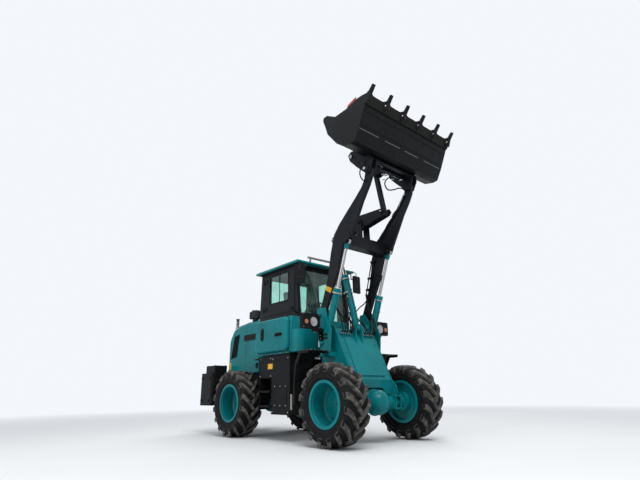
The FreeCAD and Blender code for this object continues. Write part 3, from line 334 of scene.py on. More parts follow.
def glass(name, tint, through):
    """Tinted safety glass with a trace of dust."""
    f = Finish(name)
    smears = f.ramp(f.noise(5.0, 7.0), 0.45, 0.8)
    base = f.mix(f.times(smears, 0.25), tint, (0.6, 0.62, 0.6))
    clear = f.ramp(smears, 0.0, 1.0, through, through - 0.10)
    return f.done(Base_Color=base, Transmission_Weight=clear, Roughness=0.02, IOR=1.30, Coat_Weight=0.15,
                  Coat_Roughness=0.02)


def lens(name, colour, ribs, see=1.0):
    """Moulded lamp lens with fine ribs."""
    f = Finish(name)
    wave = f.wave("Z", ribs, 0.4)
    base = f.mix(f.ramp(wave, 0.2, 0.9), shade(colour, 0.6), colour)
    return f.done(Base_Color=base, Roughness=0.18, Normal=f.bump(wave, 0.3, 0.002), Coat_Weight=1.0,
                  Coat_Roughness=0.05, Alpha=see)


def cloth(name, colour):
    """Coarse woven seat cloth."""
    f = Finish(name)
    weave = f.times(f.wave("Y", 160.0, 0.6), f.wave("Z", 160.0, 0.6))
    base = f.mix(weave, shade(colour, 0.55), shade(colour, 1.5))
    return f.done(Base_Color=base, Roughness=0.92, Normal=f.bump(weave, 0.5, 0.0015), Sheen_Weight=0.35)


def iron(name, colour):
    """Rough cast metal."""
    f = Finish(name)
    normal = f.bump(f.noise(90.0, 8.0), 0.5, 0.002, f.edge_normal(0.004))
    base = f.mix(f.ramp(f.noise(5.0, 5.0), 0.35, 0.7), colour, shade(colour, 1.7))
    return f.done(Base_Color=base, Roughness=0.72, Metallic=0.3, Normal=normal)


def concrete(name, colour):
    """Pale studio floor with the faintest mottling, which fades into the backdrop far from the object."""
    f = Finish(name)
    base = f.mix(f.ramp(f.noise(0.6, 6.0), 0.3, 0.7), shade(colour, 0.97), colour)
    f.done(Base_Color=base, Roughness=0.9, Specular_IOR_Level=0.2)
    away = f.add("ShaderNodeVectorMath", {0: f.coords}, operation="LENGTH").outputs["Value"]
    glow = f.add("ShaderNodeEmission", {"Color": BACKDROP, "Strength": WORLD_SEEN}).outputs[0]
    fade = f.times(f.ramp(away, *FLOOR_FADE), f.seen())
    blend = f.add("ShaderNodeMixShader", {0: fade, 1: f.bsdf.outputs[0], 2: glow}).outputs[0]
    f.feed(f.tree.nodes["Material Output"].inputs["Surface"], blend)
    return f.mat


BUCKET_SEAM = (4.9125, 0.0045, 1.075)
FINISHES = {
    # finish: slot of the record, material
    "teal": ("teal_paint", paint("teal paint", TEAL, 0.24, dust=0.05, wear=0.2, shine=0.13)),
    "charcoal": ("charcoal_paint", paint("charcoal paint", CHARCOAL, 0.40, dust=0.05, wear=0.3, shine=0.12)),
    "steel_black": ("charcoal_paint", paint("bucket paint", (0.0070, 0.0068, 0.0066), 0.46, dust=0.08,
                                            wear=0.7, peel=0.2, shine=0.10)),
    "bucket": ("charcoal_paint", paint("bucket plate", (0.0036, 0.0040, 0.0050), 0.42, dust=0.05, wear=0.6,
                                       peel=0.2, shine=0.12, seam=BUCKET_SEAM)),
    "trim": ("black_trim", paint("black trim", BLACK, 0.50, dust=0.08, wear=0.15, peel=0.25, shine=0.10)),
    "yellow": ("black_trim", paint("yellow blank plates", (0.62, 0.34, 0.006), 0.40, dust=0.05, wear=0.1)),
    "worn": ("charcoal_paint", paint("worn edge paint", (0.020, 0.018, 0.016), 0.50, dust=0.2, wear=0.9,
                                     peel=0.3, shine=0.2)),
    "white": ("black_trim", paint("pale plates", (0.42, 0.43, 0.42), 0.42, dust=0.15, wear=0.2)),
    "red": ("black_trim", paint("red marker plate", (0.20, 0.020, 0.014), 0.42, dust=0.1, wear=0.3)),
    "grey": ("black_trim", paint("grey roof bar", (0.23, 0.24, 0.235), 0.45, dust=0.1, wear=0.2)),
    "tyre": ("tyre_rubber", rubber("tyre rubber", (0.0040, 0.0042, 0.0050), 0.04)),
    "tread": ("tyre_rubber", rubber("tread rubber", (0.040, 0.038, 0.035), 0.50)),
    "hose": ("black_trim", rubber("hose rubber", (0.0050, 0.0050, 0.0056), 0.04, grain=500.0)),
    "seal": ("black_trim", rubber("window seals", (0.0040, 0.0040, 0.0045), 0.05)),
    "lining": ("black_trim", rubber("cab lining", (0.030, 0.031, 0.033), 0.05, grain=300.0)),
    "chrome": ("rod_chrome", metal("chromed rods", (0.40, 0.40, 0.41), 0.20, brushed=(1.0, 1.0, 14.0))),
    "zinc": ("rod_chrome", metal("zinc plated fittings", (0.42, 0.43, 0.43), 0.32)),
    "bolt": ("rod_chrome", metal("dark plated bolts", (0.24, 0.24, 0.235), 0.40)),
    "iron": ("engine_iron", iron("engine iron", (0.040, 0.040, 0.043))),
    "glass": ("clear_glass", glass("cab glass", (0.60, 0.90, 0.82), 0.97)),
    "mirror": ("rod_chrome", metal("mirror glass", (0.80, 0.82, 0.83), 0.04, grime=0.05)),
    "lamp": ("clear_glass", lens("lamp lens", (0.50, 0.52, 0.54), 60.0, see=0.18)),
    "amber": ("clear_glass", lens("amber lens", (0.42, 0.105, 0.015), 90.0)),
    "redlens": ("clear_glass", lens("red lens", (0.40, 0.012, 0.010), 90.0)),
    "cloth": ("seat_fabric", cloth("seat cloth", (0.030, 0.031, 0.034))),
    "vinyl": ("seat_fabric", rubber("seat vinyl", (0.012, 0.012, 0.013), 0.05, grain=300.0)),
}
# Finish of the CAD nodes whose names begin so; the longest beginning counts
NODE_FINISH = {
    "teal": "rim hood platform front_frame front_axle rear_axle cab_roof tilt_barrel lift_barrel",
    "charcoal": "steer_barrel boom rocker tilt_link coupler cab_frame door rear_frame",
    "trim": "hood_grilles counterweight front_fenders side_tanks mirrors steering front_lamps",
    "chrome": "tilt_rod lift_rod steer_rod",
    "steel_black": "bucket_teeth",
    "bucket": "bucket",
    "iron": "hood_stacks engine",
    "glass": "cab_glass door_glass",
    "grey": "roof_bar",
    "tyre": "tyre",
    "cloth": "seat",
}


def finish_nodes():
    starts = {start: finish for finish, names in NODE_FINISH.items() for start in names.split()}
    for name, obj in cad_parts.items():
        start = max((s for s in starts if name.startswith(s)), key=len)
        material = FINISHES[starts[start]][1]
        if not obj.material_slots:
            obj.data.materials.append(material)
        for slot in obj.material_slots:
            slot.material = material


def basis(axis):
    """Matrix whose third column is the axis."""
    w = V(axis).normalized()
    side = Z_AXIS if abs(w.z) < 0.9 else X_AXIS
    u = side.cross(w).normalized()
    return Matrix((u, w.cross(u), w)).transposed()


def turned(degrees, axis):
    return Matrix.Rotation(math.radians(degrees), 3, axis)


def ring_of(count, r, first=0.0):
    """Points (u, v) on a circle; first is the share of a step at which they begin."""
    for i in range(count):
        a = 2 * math.pi * (i + first) / count
        yield r * math.cos(a), r * math.sin(a)


def add_block(bm, lo, hi, turn=None, about=None):
    """Box between two corners, turned by a matrix about a point."""
    lo = V(lo)
    hi = V(hi)
    pivot = V(about) if about is not None else (lo + hi) / 2
    for v in bmesh.ops.create_cube(bm, size=1.0)["verts"]:
        v.co = V(((lo[i] + hi[i]) / 2 + v.co[i] * (hi[i] - lo[i])) for i in range(3))
        if turn is not None:
            v.co = pivot + turn @ (v.co - pivot)


def add_side_block(bm, side, xs, ys, zs, turn=None):
    """Box given for the machine's left, on either side."""
    y0, y1 = sorted((side * ys[0], side * ys[1]))
    add_block(bm, (xs[0], y0, zs[0]), (xs[1], y1, zs[1]), turn)


def join_rings(bm, rings):
    """Faces between rings of vertices; a ring of one vertex is a pole."""
    seg = max(len(ring) for ring in rings)
    for one, two in zip(rings, rings[1:]):
        for i in range(seg):
            j = (i + 1) % seg
            corners = [one[i % len(one)], one[j % len(one)], two[j % len(two)], two[i % len(two)]]
            corners = list(dict.fromkeys(corners))
            if len(corners) > 2:
                bm.faces.new(corners)


def add_lathe(bm, at, axis, profile, seg=24, start=0.0):
    """Surface of revolution about an axis: profile of (radius, distance along the axis)."""
    at = V(at)
    turn = basis(axis)
    rings = []
    for r, d in profile:
        if r < 1e-6:
            rings.append([bm.verts.new(at + turn @ V((0, 0, d)))])
            continue
        angles = [start + 2 * math.pi * i / seg for i in range(seg)]
        rings.append([bm.verts.new(at + turn @ V((r * math.cos(a), r * math.sin(a), d))) for a in angles])
    join_rings(bm, rings)


def add_rod(bm, a, b, r, seg=16):
    """Round bar with chamfered ends."""
    a = V(a)
    b = V(b)
    length = (b - a).length
    c = min(r * 0.25, length * 0.2)
    add_lathe(bm, a, b - a, [(0, 0), (r - c, 0), (r, c), (r, length - c), (r - c, length), (0, length)], seg)


def add_bolt(bm, at, axis, size):
    """Hexagon head on its washer."""
    h = size * 0.25
    add_lathe(bm, at, axis, [(0, 0), (size * 1.35, 0), (size * 1.35, h), (0, h)], 16)
    head = [(0, h), (size, h), (size, h + size * 0.6), (size * 0.8, h + size * 0.75), (0, h + size * 0.75)]
    add_lathe(bm, at, axis, head, 6, start=random.random())


def add_bolts(bm, xs, ys, zs, axis, size):
    """Bolts at every crossing of the given places."""
    for at in itertools.product(xs, ys, zs):
        add_bolt(bm, at, axis, size)


def add_pin_head(bm, at, axis, r):
    """Head of a linkage pin: stepped cap and a bolt beside it, with a grease fitting."""
    axis = V(axis).normalized()
    at = V(at)
    cap = [(0, 0), (r, 0), (r, 0.010), (r * 0.86, 0.014), (r * 0.86, 0.018), (0, 0.018)]
    add_lathe(bm, at, axis, cap, 28)
    nipple = [(0, 0), (0.006, 0), (0.006, 0.006), (0.003, 0.012), (0, 0.013)]
    add_lathe(bm, at + axis * 0.018, axis, nipple, 10)
    add_bolt(bm, at + basis(axis) @ X_AXIS * (r * 1.28), axis, 0.009)


def sweep(bm, points, radius, seg=10, caps=True):
    """Round tube along points."""
    pts = [V(p) for p in points]
    last = len(pts) - 1
    tangents = [(pts[min(i + 1, last)] - pts[max(i - 1, 0)]).normalized() for i in range(last + 1)]
    u = basis(tangents[0]) @ X_AXIS
    rings = []
    for p, t in zip(pts, tangents):
        u = (u - t * u.dot(t)).normalized()
        w = t.cross(u)
        rings.append([bm.verts.new(p + u * c + w * s) for c, s in ring_of(seg, radius)])
    join_rings(bm, rings)
    if caps:
        bm.faces.new(rings[0][::-1])
        bm.faces.new(rings[-1])


def curve_points(points, steps=8):
    """Smooth line through the points."""
    pts = [V(p) for p in points]
    pts = [pts[0] * 2 - pts[1]] + pts + [pts[-1] * 2 - pts[-2]]
    out = []
    for i in range(1, len(pts) - 2):
        a, b, c, d = pts[i - 1:i + 3]
        for k in range(steps):
            t = k / steps
            out.append(0.5 * ((2 * b) + (c - a) * t + (2 * a - 5 * b + 4 * c - d) * t * t
                              + (3 * b - a - 3 * c + d) * t * t * t))
    out.append(pts[-2])
    return out


def add_hose(bm, points, r, steps=8, seg=10):
    """Hose along a smooth line, with crimped ferrules at its ends."""
    line = curve_points(points, steps)
    sweep(bm, line, r, seg)
    ferrule = [(0, 0), (r * 1.5, 0), (r * 1.5, r * 3), (r * 1.2, r * 3.6), (r, r * 3.8)]
    for a, b in ((line[0], line[1]), (line[-1], line[-2])):
        add_lathe(bm, a, (b - a).normalized(), ferrule, 12)


def add_plate(bm, corners, normal, thick):
    """Flat plate: corners in order, thickness along the normal."""
    n = V(normal).normalized() * thick
    low = [bm.verts.new(V(c)) for c in corners]
    high = [bm.verts.new(V(c) + n) for c in corners]
    bm.faces.new(low[::-1])
    bm.faces.new(high)
    join_rings(bm, [low, high])


def rounded(u0, u1, v0, v1, r, steps=5):
    """Rounded rectangle as (u, v) points."""
    out = []
    corners = ((u1 - r, v0 + r, -90), (u1 - r, v1 - r, 0), (u0 + r, v1 - r, 90), (u0 + r, v0 + r, 180))
    for cu, cv, start in corners:
        for i in range(steps + 1):
            a = math.radians(start + 90 * i / steps)
            out.append((cu + r * math.cos(a), cv + r * math.sin(a)))
    return out


def on_side(points, y):
    """(x, z) points on the plane of one y."""
    return [(u, y, v) for u, v in points]


def add_side_plate(bm, side, y, outline, thick):
    """Plate on a side of the machine, at the distance y out: outline of (x, z)."""
    add_plate(bm, on_side(outline, side * y), (0, side, 0), thick)


def add_loop(bm, points, r, seg=8):
    """Closed round bead along the points."""
    pts = [V(p) for p in points]
    sweep(bm, pts + [pts[0], pts[1]], r, seg, caps=False)


def soften(obj, width, segments=2, angle=40):
    modifier = obj.modifiers.new("edges", "BEVEL")
    modifier.width = width
    modifier.segments = segments
    modifier.limit_method = "ANGLE"
    modifier.angle_limit = math.radians(angle)


def piece(name, bm, finish, body, bevel=0.0, smooth=35.0, subdivide=0):
    """Turn the mesh into an object with its finish, on its body."""
    slot, material = FINISHES[finish]
    bmesh.ops.recalc_face_normals(bm, faces=bm.faces)
    mesh = bpy.data.meshes.new(name)
    bm.to_mesh(mesh)
    bm.free()
    mesh.shade_smooth()
    mesh.set_sharp_from_angle(angle=math.radians(smooth))
    mesh.materials.append(material)
    obj = bpy.data.objects.new(name, mesh)
    bpy.context.scene.collection.objects.link(obj)
    if bevel:
        soften(obj, bevel)
    if subdivide:
        modifier = obj.modifiers.new("smooth", "SUBSURF")
        modifier.levels = subdivide
        modifier.render_levels = subdivide
    if body:
        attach(obj, body)
    return obj


def set_camera():
    yaw, pitch, roll = (math.radians(a) for a in CAMERA_TURN)
    forward = V((math.cos(yaw) * math.cos(pitch), math.sin(yaw) * math.cos(pitch), math.sin(pitch)))
    right = V((math.sin(yaw), -math.cos(yaw), 0))
    up = right.cross(forward)
    c, s = math.cos(roll), math.sin(roll)
    rows = Matrix((right * c + up * s, up * c - right * s, -forward))
    data = bpy.data.cameras.new("camera")
    data.lens = CAMERA_LENS
    data.sensor_width = 36.0
    data.sensor_fit = "HORIZONTAL"
    camera = bpy.data.objects.new("camera", data)
    camera.matrix_world = Matrix.Translation(CAMERA_AT) @ rows.transposed().to_4x4()
    bpy.context.scene.collection.objects.link(camera)
    bpy.context.scene.camera = camera


def set_stage():
    scene = bpy.context.scene
    scene.view_settings.view_transform = "Standard"
    world = bpy.data.worlds.new("studio")
    world.use_nodes = True
    nodes = Nodes(world.node_tree)
    sky = world.node_tree.nodes["Background"].inputs
    nodes.feed(sky["Color"], BACKDROP)
    nodes.feed(sky["Strength"], nodes.ramp(nodes.seen(), 0.0, 1.0, WORLD_PLAIN, WORLD_SEEN))
    scene.world = world
    for name, at, target, size, watts in LAMPS:
        data = bpy.data.lights.new(name, "AREA")
        data.size = size
        data.energy = watts
        lamp = bpy.data.objects.new(name, data)
        lamp.location = at
        lamp.rotation_euler = (V(at) - V(target)).to_track_quat("Z", "Y").to_euler()
        scene.collection.objects.link(lamp)
    bm = bmesh.new()
    bmesh.ops.create_grid(bm, x_segments=1, y_segments=1, size=60.0)
    mesh = bpy.data.meshes.new("floor")
    bm.to_mesh(mesh)
    bm.free()
    floor = bpy.data.objects.new("floor", mesh)
    floor.location = (0, 0, -0.001)
    mesh.materials.append(concrete("floor", (0.64, 0.65, 0.66)))
    scene.collection.objects.link(floor)


def tyre_mesh():
    """Carcass of revolution with rings on its walls, and two rows of slanted lugs."""
    half = TYRE_W / 2
    tread = TYRE_R - LUG_RISE
    wall = [
        (0.306, 0.163), (0.334, 0.166), (0.345, 0.176), (0.360, 0.184), (0.372, 0.1925), (0.378, 0.1925),
        (0.386, 0.1905), (0.430, 0.200), (0.455, 0.2035), (0.470, 0.2035), (0.476, 0.2005), (0.490, 0.199),
        (0.510, 0.190), (0.526, 0.172), (0.535, 0.150), (0.5385, 0.08), (tread + 0.0005, 0.0),
    ]
    bm = bmesh.new()
    add_lathe(bm, (0, 0, 0), Y_AXIS, wall + [(r, -w) for r, w in wall[-2::-1]], 96)
    carcass_faces = len(bm.faces)
    # share of the lug's length, distance from the middle plane, how far its top and its foot are under the
    # tyre's and the tread's radius, width
    stations = [
        (0.00, -0.020, 0.0010, 0.012, 0.070), (0.10, 0.006, 0.0003, 0.012, 0.073),
        (0.45, 0.085, 0.0008, 0.014, 0.077), (0.78, 0.150, 0.0060, 0.026, 0.081),
        (0.94, 0.189, 0.0170, 0.060, 0.084), (1.00, half - 0.0005, 0.0370, 0.080, 0.084),
        (1.03, half - 0.0005, 0.0700, 0.090, 0.078), (1.05, half - 0.008, 0.094, 0.092, 0.066),
    ]
    for hand, i in itertools.product(SIDES, range(LUGS)):
        start = -math.pi / 2 + 2 * math.pi / LUGS * (i + (0.5 if hand < 0 else 0.0))
        rings = []
        for share, out, top, foot, width in stations:
            outer = TYRE_R - top
            inner = tread - foot
            ring = []
            section = ((outer, -1, 0.86), (outer, 1, 0.86), (inner, 1, 1.14), (inner, -1, 1.14))
            for radius, edge, spread in section:
                a = start + share * LUG_SWEEP + edge * spread * width / 2 / radius
                ring.append(bm.verts.new((radius * math.cos(a), hand * out, radius * math.sin(a))))
            rings.append(ring)
        join_rings(bm, rings)
        bm.faces.new(rings[0])
        bm.faces.new(rings[-1])
    bm.faces.ensure_lookup_table()
    for face in bm.faces[carcass_faces:]:
        face.material_index = 1
    return bm


def wheel(end, side):
    label = end + "_" + SIDE_NAME[side]
    body = "wheel_" + label
    centre = V((AXLE_X if end == "front" else -AXLE_X, side * WHEEL_Y, TYRE_R))
    out = V((0, side, 0))
    bm = tyre_mesh()
    for v in bm.verts:
        v.co += centre
    tyre = piece("road_tyre_" + label, bm, "tyre", body, smooth=28)
    tyre.data.materials.append(FINISHES["tread"][1])
    soften(tyre, 0.0035, segments=1, angle=42)
    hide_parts("tyre_" + label)
    bm = bmesh.new()
    rings = [
        # rolled flange, lock ring beside it, hub cover, rim of the disc: segments, profile
        (72, [(0.289, 0.150), (0.300, 0.172), (0.318, 0.1795), (0.3295, 0.178), (0.3300, 0.166),
              (0.320, 0.162)]),
        (72, [(0.289, 0.120), (0.284, 0.128), (0.284, 0.140), (0.290, 0.150)]),
        (56, [(0, HUB_FACE + 0.009), (0.052, HUB_FACE + 0.009), (0.058, HUB_FACE + 0.004),
              (0.150, HUB_FACE + 0.004), (0.157, HUB_FACE)]),
        (64, [(0.214, DISC_FACE), (0.214, DISC_FACE + 0.004), (0.254, DISC_FACE + 0.004),
              (0.257, DISC_FACE)]),
    ]
    for seg, profile in rings:
        add_lathe(bm, centre, out, profile, seg)
    piece("rim_rings_" + label, bm, "teal", body, smooth=30)
    bm = bmesh.new()
    circles = [
        # count, radius of the circle, distance out, size of the head
        (10, 0.234, DISC_FACE + 0.004, 0.0115), (12, 0.178, HUB_FACE, 0.0080),
        (6, 0.105, HUB_FACE + 0.004, 0.0065),
    ]
    for count, r, height, size in circles:
        for x, z in ring_of(count, 1.0, 0.5):
            add_bolt(bm, centre + out * height + V((x, 0, z)) * r, out, size)
    add_rod(bm, centre + out * (HUB_FACE + 0.009), centre + out * (HUB_FACE + 0.019), 0.020, 6)
    piece("hub_bolts_" + label, bm, "teal", body, smooth=30)
    bm = bmesh.new()
    stem = centre + V((0.286, side * 0.10, 0.02))
    line = [stem, stem + out * 0.02 + V((-0.006, 0, 0)), stem + out * 0.045 + V((-0.014, 0, 0))]
    sweep(bm, curve_points(line, 4), 0.005, 8)
    piece("valve_" + label, bm, "hose", body)


def crossing(polygon, z):
    """The two x at which a convex (x, z) polygon is crossed at the height z."""
    hits = []
    for (x0, z0), (x1, z1) in zip(polygon, polygon[1:] + polygon[:1]):
        if (z0 - z) * (z1 - z) < 0:
            hits.append(x0 + (x1 - x0) * (z - z0) / (z1 - z0))
    return min(hits), max(hits)


def grilles():
    """Blades and frames of the side grilles and of the tail grille."""
    blades = bmesh.new()
    frames = bmesh.new()
    for side in SIDES:
        z = 1.445
        y = side * (GRILLE_Y + 0.001)
        while z < 1.865:
            x0, x1 = crossing(GRILLE, z)
            lo = (x0 + 0.016, y - 0.005, z - 0.0016)
            add_block(blades, lo, (x1 - 0.016, y + 0.005, z + 0.0016), turned(side * 32, "X"))
            z += BLADE_STEP
        add_loop(frames, on_side(GRILLE, y), 0.0065)
        # slim bars that hold the blades
        y = side * (GRILLE_Y + 0.004)
        for share in (0.33, 0.67):
            low = V((GRILLE[0][0] + (GRILLE[3][0] - GRILLE[0][0]) * share, y, 1.432))
            high = V((GRILLE[1][0] + (GRILLE[2][0] - GRILLE[1][0]) * share, y, 1.866))
            sweep(frames, [low, high], 0.0035, 6)
    z = TAIL_Z[0] + 0.014
    while z < TAIL_Z[1] - 0.008:
        x = TAIL_X + TAIL_SLOPE * (z - 1.185) - 0.002
        half = TAIL_HALF - 0.014
        add_block(blades, (x - 0.005, -half, z - 0.0016), (x + 0.005, half, z + 0.0016), turned(-30, "Y"))
        z += BLADE_STEP
    for y in (-0.2, 0.0, 0.2):
        add_block(frames, (TAIL_X - 0.006, y - 0.005, TAIL_Z[0]), (TAIL_X + 0.010, y + 0.005, TAIL_Z[1]))
    edge = rounded(-TAIL_HALF, TAIL_HALF, *TAIL_Z, 0.02)
    add_loop(frames, [(TAIL_X + TAIL_SLOPE * (z - 1.185), y, z) for y, z in edge], 0.008)
    piece("grille_blades", blades, "trim", "hood")
    piece("grille_frames", frames, "trim", "hood")


def hood_trim():
    plates = bmesh.new()
    bright = bmesh.new()
    screws = bmesh.new()
    for side in SIDES:
        out = (0, side, 0)
        add_side_plate(plates, side, HOOD_Y, rounded(-1.625, -1.170, 1.730, 1.850, 0.018), 0.004)
        add_side_plate(bright, side, HOOD_Y, rounded(-2.150, -2.085, 1.200, 1.345, 0.008), 0.004)
        add_bolts(screws, (-1.60, -1.195), (side * (HOOD_Y + 0.004),), (1.742, 1.838), out, 0.004)
        # latches at the lower front corner
        add_side_plate(plates, side, HOOD_Y, rounded(-1.160, -1.085, 1.190, 1.290, 0.012), 0.012)
        add_rod(plates, (-1.122, side * HOOD_Y, 1.262), (-1.122, side * (HOOD_Y + 0.022), 1.262), 0.014, 14)
        # hinge screws at the tail
        add_bolts(screws, (-2.13, -2.09), (side * HOOD_Y,), (1.385,), out, 0.006)
    piece("hood_plates", plates, "trim", "hood", bevel=0.0015)
    piece("hood_reflectors", bright, "yellow", "hood", bevel=0.001)
    piece("hood_screws", screws, "zinc", "hood")
    # fine dark bead across the top and down the sides
    bm = bmesh.new()
    half = [(0.5605, 1.30), (0.5605, 2.035), (0.547, 2.073), (0.485, 2.1085)]
    line = [(-y, z) for y, z in half] + [(0, 2.1105)] + half[::-1]
    sweep(bm, [(-1.535, y, z) for y, z in line], 0.0022, 6)
    piece("hood_seams", bm, "seal", "hood")
    x, y = EXHAUST
    bm = bmesh.new()
    for z in (2.085, 2.150):
        add_lathe(bm, (x, y, z), Z_AXIS, [(0.030, 0), (0.0335, 0.002), (0.0335, 0.012), (0.030, 0.014)])
    add_lathe(bm, (x, y, 2.040), Z_AXIS, [(0.030, 0.022), (0.047, 0.012), (0.052, 0.0), (0.030, 0.0)])
    add_rod(bm, (x - 0.035, y - 0.022, 2.236), (x - 0.035, y + 0.022, 2.236), 0.006)
    add_block(bm, (x - 0.070, y - 0.007, 2.222), (x - 0.030, y + 0.007, 2.228), Matrix.Rotation(0.6, 3, "Y"))
    piece("exhaust_fittings", bm, "zinc", "hood")
    x, y = CLEANER
    bm = bmesh.new()
    for i in range(28):
        turn = Matrix.Rotation(2 * math.pi * i / 28, 3, "Z")
        add_block(bm, (x + 0.113, y - 0.003, 2.182), (x + 0.129, y + 0.003, 2.288), turn, (x, y, 2.2))
    for z in (2.172, 2.228, 2.290):
        add_lathe(bm, (x, y, z), Z_AXIS, [(0.125, 0), (0.1305, 0.002), (0.1305, 0.008), (0.125, 0.010)], 48)
    add_lathe(bm, (x, y, 2.118), Z_AXIS, [(0.060, 0), (0.067, 0.003), (0.067, 0.018), (0.060, 0.021)], 32)
    piece("cleaner_fins", bm, "trim", "hood")


def tail():
    """Lamps, bolts and lifting loops of the counterweight."""
    bezels = bmesh.new()
    red = bmesh.new()
    amber = bmesh.new()
    bolts = bmesh.new()
    back = (-1, 0, 0)
    bezel = [(0.056, 0), (0.056, 0.010), (0.050, 0.014), (0.046, 0.014), (0.045, 0.004)]
    for side in SIDES:
        for y, target in ((0.650, red), (0.775, amber)):
            at = (CW_X + 0.060, side * y, 1.215)
            add_lathe(bezels, at, back, bezel, 32)
            add_lathe(target, at, back, [(0.045, 0.003), (0.040, 0.010), (0.022, 0.015), (0, 0.016)], 32)
        add_bolts(bolts, (-2.58, -2.27), (side * CW_SIDE_Y,), (0.62, 1.04), (0, side, 0), 0.020)
        add_bolts(bolts, (-2.57, -2.26), (side * 0.60, side * 0.825), (1.290,), Z_AXIS, 0.009)
    piece("tail_lamp_bezels", bezels, "trim", "rear_frame")
    piece("tail_lamps_red", red, "redlens", "rear_frame")
    piece("tail_lamps_amber", amber, "amber", "rear_frame")
    piece("counterweight_bolts", bolts, "trim", "rear_frame")
    bm = bmesh.new()
    arch = [(0.42, 1.135), (0.42, 1.20), (0.35, 1.225), (0.28, 1.20), (0.28, 1.135)]
    for side in SIDES:
        sweep(bm, curve_points([(-2.42, side * y, z) for y, z in arch], 6), 0.012, 12)
    ring = [(0.036, 0), (0.055, 0), (0.055, 0.008), (0.036, 0.008), (0.036, 0)]
    add_lathe(bm, (CW_X + 0.070, 0, 1.140), Z_AXIS, ring, 32)
    piece("counterweight_loops", bm, "trim", "rear_frame")


def toolbox():
    out = (0, -1, 0)
    bm = bmesh.new()
    add_plate(bm, on_side(rounded(-0.535, -0.435, 1.615, 1.835, 0.049, 8), TOOL_Y), out, 0.006)
    disc = [(0.030, 0), (0.030, 0.005), (0.020, 0.008), (0, 0.009)]
    for z in (1.680, 1.770):
        add_lathe(bm, (-0.485, TOOL_Y - 0.006, z), out, disc, 28)
    for i in range(5):
        z = 1.705 + i * 0.010
        add_block(bm, (-0.515, TOOL_Y - 0.011, z - 0.002), (-0.455, TOOL_Y - 0.005, z + 0.002))
    add_plate(bm, on_side(rounded(-0.100, 0.105, 1.655, 1.715, 0.020), TOOL_Y), out, 0.005)
    grip = [(-0.085, 0.006, 1.685), (-0.060, 0.028, 1.686), (0.065, 0.028, 1.686), (0.090, 0.006, 1.685)]
    sweep(bm, curve_points([(x, TOOL_Y - d, z) for x, d, z in grip], 5), 0.010, 10)
    piece("toolbox_vent_and_handle", bm, "trim", "rear_frame", bevel=0.0015)
    bm = bmesh.new()
    add_loop(bm, on_side(rounded(-0.722, 0.237, 1.403, 1.9765, 0.087, 8), -0.8125), 0.0045)
    piece("toolbox_seal", bm, "seal", "rear_frame")
    bm = bmesh.new()
    add_bolts(bm, (-0.60, -0.32, -0.04, 0.14), (-0.800,), (1.384,), out, 0.007)
    for side in SIDES:
        for z in (1.42, 1.71):
            add_bolts(bm, (0.445,), (side * 0.20, side * 0.44), (z,), X_AXIS, 0.007)
    piece("platform_bolts", bm, "zinc", "rear_frame")
    # seams of the rounded front corners, and the rubber mat of the left deck
    bm = bmesh.new()
    for x, y, z0, z1 in ((0.262, 0.8005, 1.395, 1.740), (0.262, -0.8005, 1.395, 1.740),
                         (0.2775, -0.7985, 1.42, 1.90)):
        sweep(bm, [(x, y, z0), (x, y, z1)], 0.0022, 6)
    for i in range(22):
        x = -0.95 + i * 0.052
        add_block(bm, (x, 0.640, 1.440), (x + 0.030, 0.790, 1.446))
    piece("platform_mat", bm, "seal", "rear_frame", bevel=0.001)


def tanks():
    plates = bmesh.new()
    bolts = bmesh.new()
    yellow = bmesh.new()
    pale = bmesh.new()
    grips = bmesh.new()
    for side in SIDES:
        out = V((0, side, 0))
        y = side * TANK_Y
        # inspection cover and bands
        add_side_plate(plates, side, TANK_Y, rounded(-0.150, 0.200, 0.520, 0.860, 0.03), 0.006)
        for z in (0.425, 1.270):
            add_side_plate(plates, side, TANK_Y, rounded(-0.215, 0.265, z, z + 0.030, 0.006), 0.008)
        for x in ((-0.130, 0.180), (0.025,)):
            for z in (0.54, 0.84):
                add_bolts(bolts, x, (y + side * 0.006,), (z,), out, 0.007)
        add_bolts(bolts, (-0.19, 0.24), (y + side * 0.008,), (0.44, 1.285), out, 0.008)
        add_bolts(bolts, (-0.575, -0.26), (y,), (1.01, 1.30), out, 0.007)
        add_side_plate(yellow, side, TANK_Y, rounded(-0.345, -0.205, 1.125, 1.215, 0.006), 0.003)
        corners = [(0.790, 0.475), (0.826, 0.475), (0.826, 0.712), (0.790, 0.712)]
        add_plate(pale, [(0.280, side * u, z) for u, z in corners], X_AXIS, 0.004)
        # flat filler cap on the front of the tank
        cap = [(0.048, 0), (0.048, 0.006), (0.040, 0.009), (0, 0.0095)]
        add_lathe(plates, (0.276, side * 0.66, 1.18), X_AXIS, cap)
        # raised grips on the steps
        for z, i, row in itertools.product((0.536, 0.771), range(9), (0.705, 0.755, 0.805, 0.855)):
            at = (-0.585 + i * 0.040, side * row, z)
            add_lathe(grips, at, Z_AXIS, [(0.009, 0), (0.007, 0.005), (0, 0.006)], 8)
    piece("tank_covers", plates, "trim", "rear_frame", bevel=0.002)
    piece("tank_bolts", bolts, "zinc", "rear_frame")
    piece("tank_blank_plates", yellow, "yellow", "rear_frame")
    piece("tank_markers", pale, "white", "rear_frame", bevel=0.001)
    piece("step_grips", grips, "trim", "rear_frame")


def screen_x(z):
    """x of the windscreen's outer face at a height."""
    lower = z < SCREEN[1][1]
    (x0, z0), (x1, z1) = SCREEN[:2] if lower else SCREEN[1:]
    return x0 + (x1 - x0) * (z - z0) / (z1 - z0)


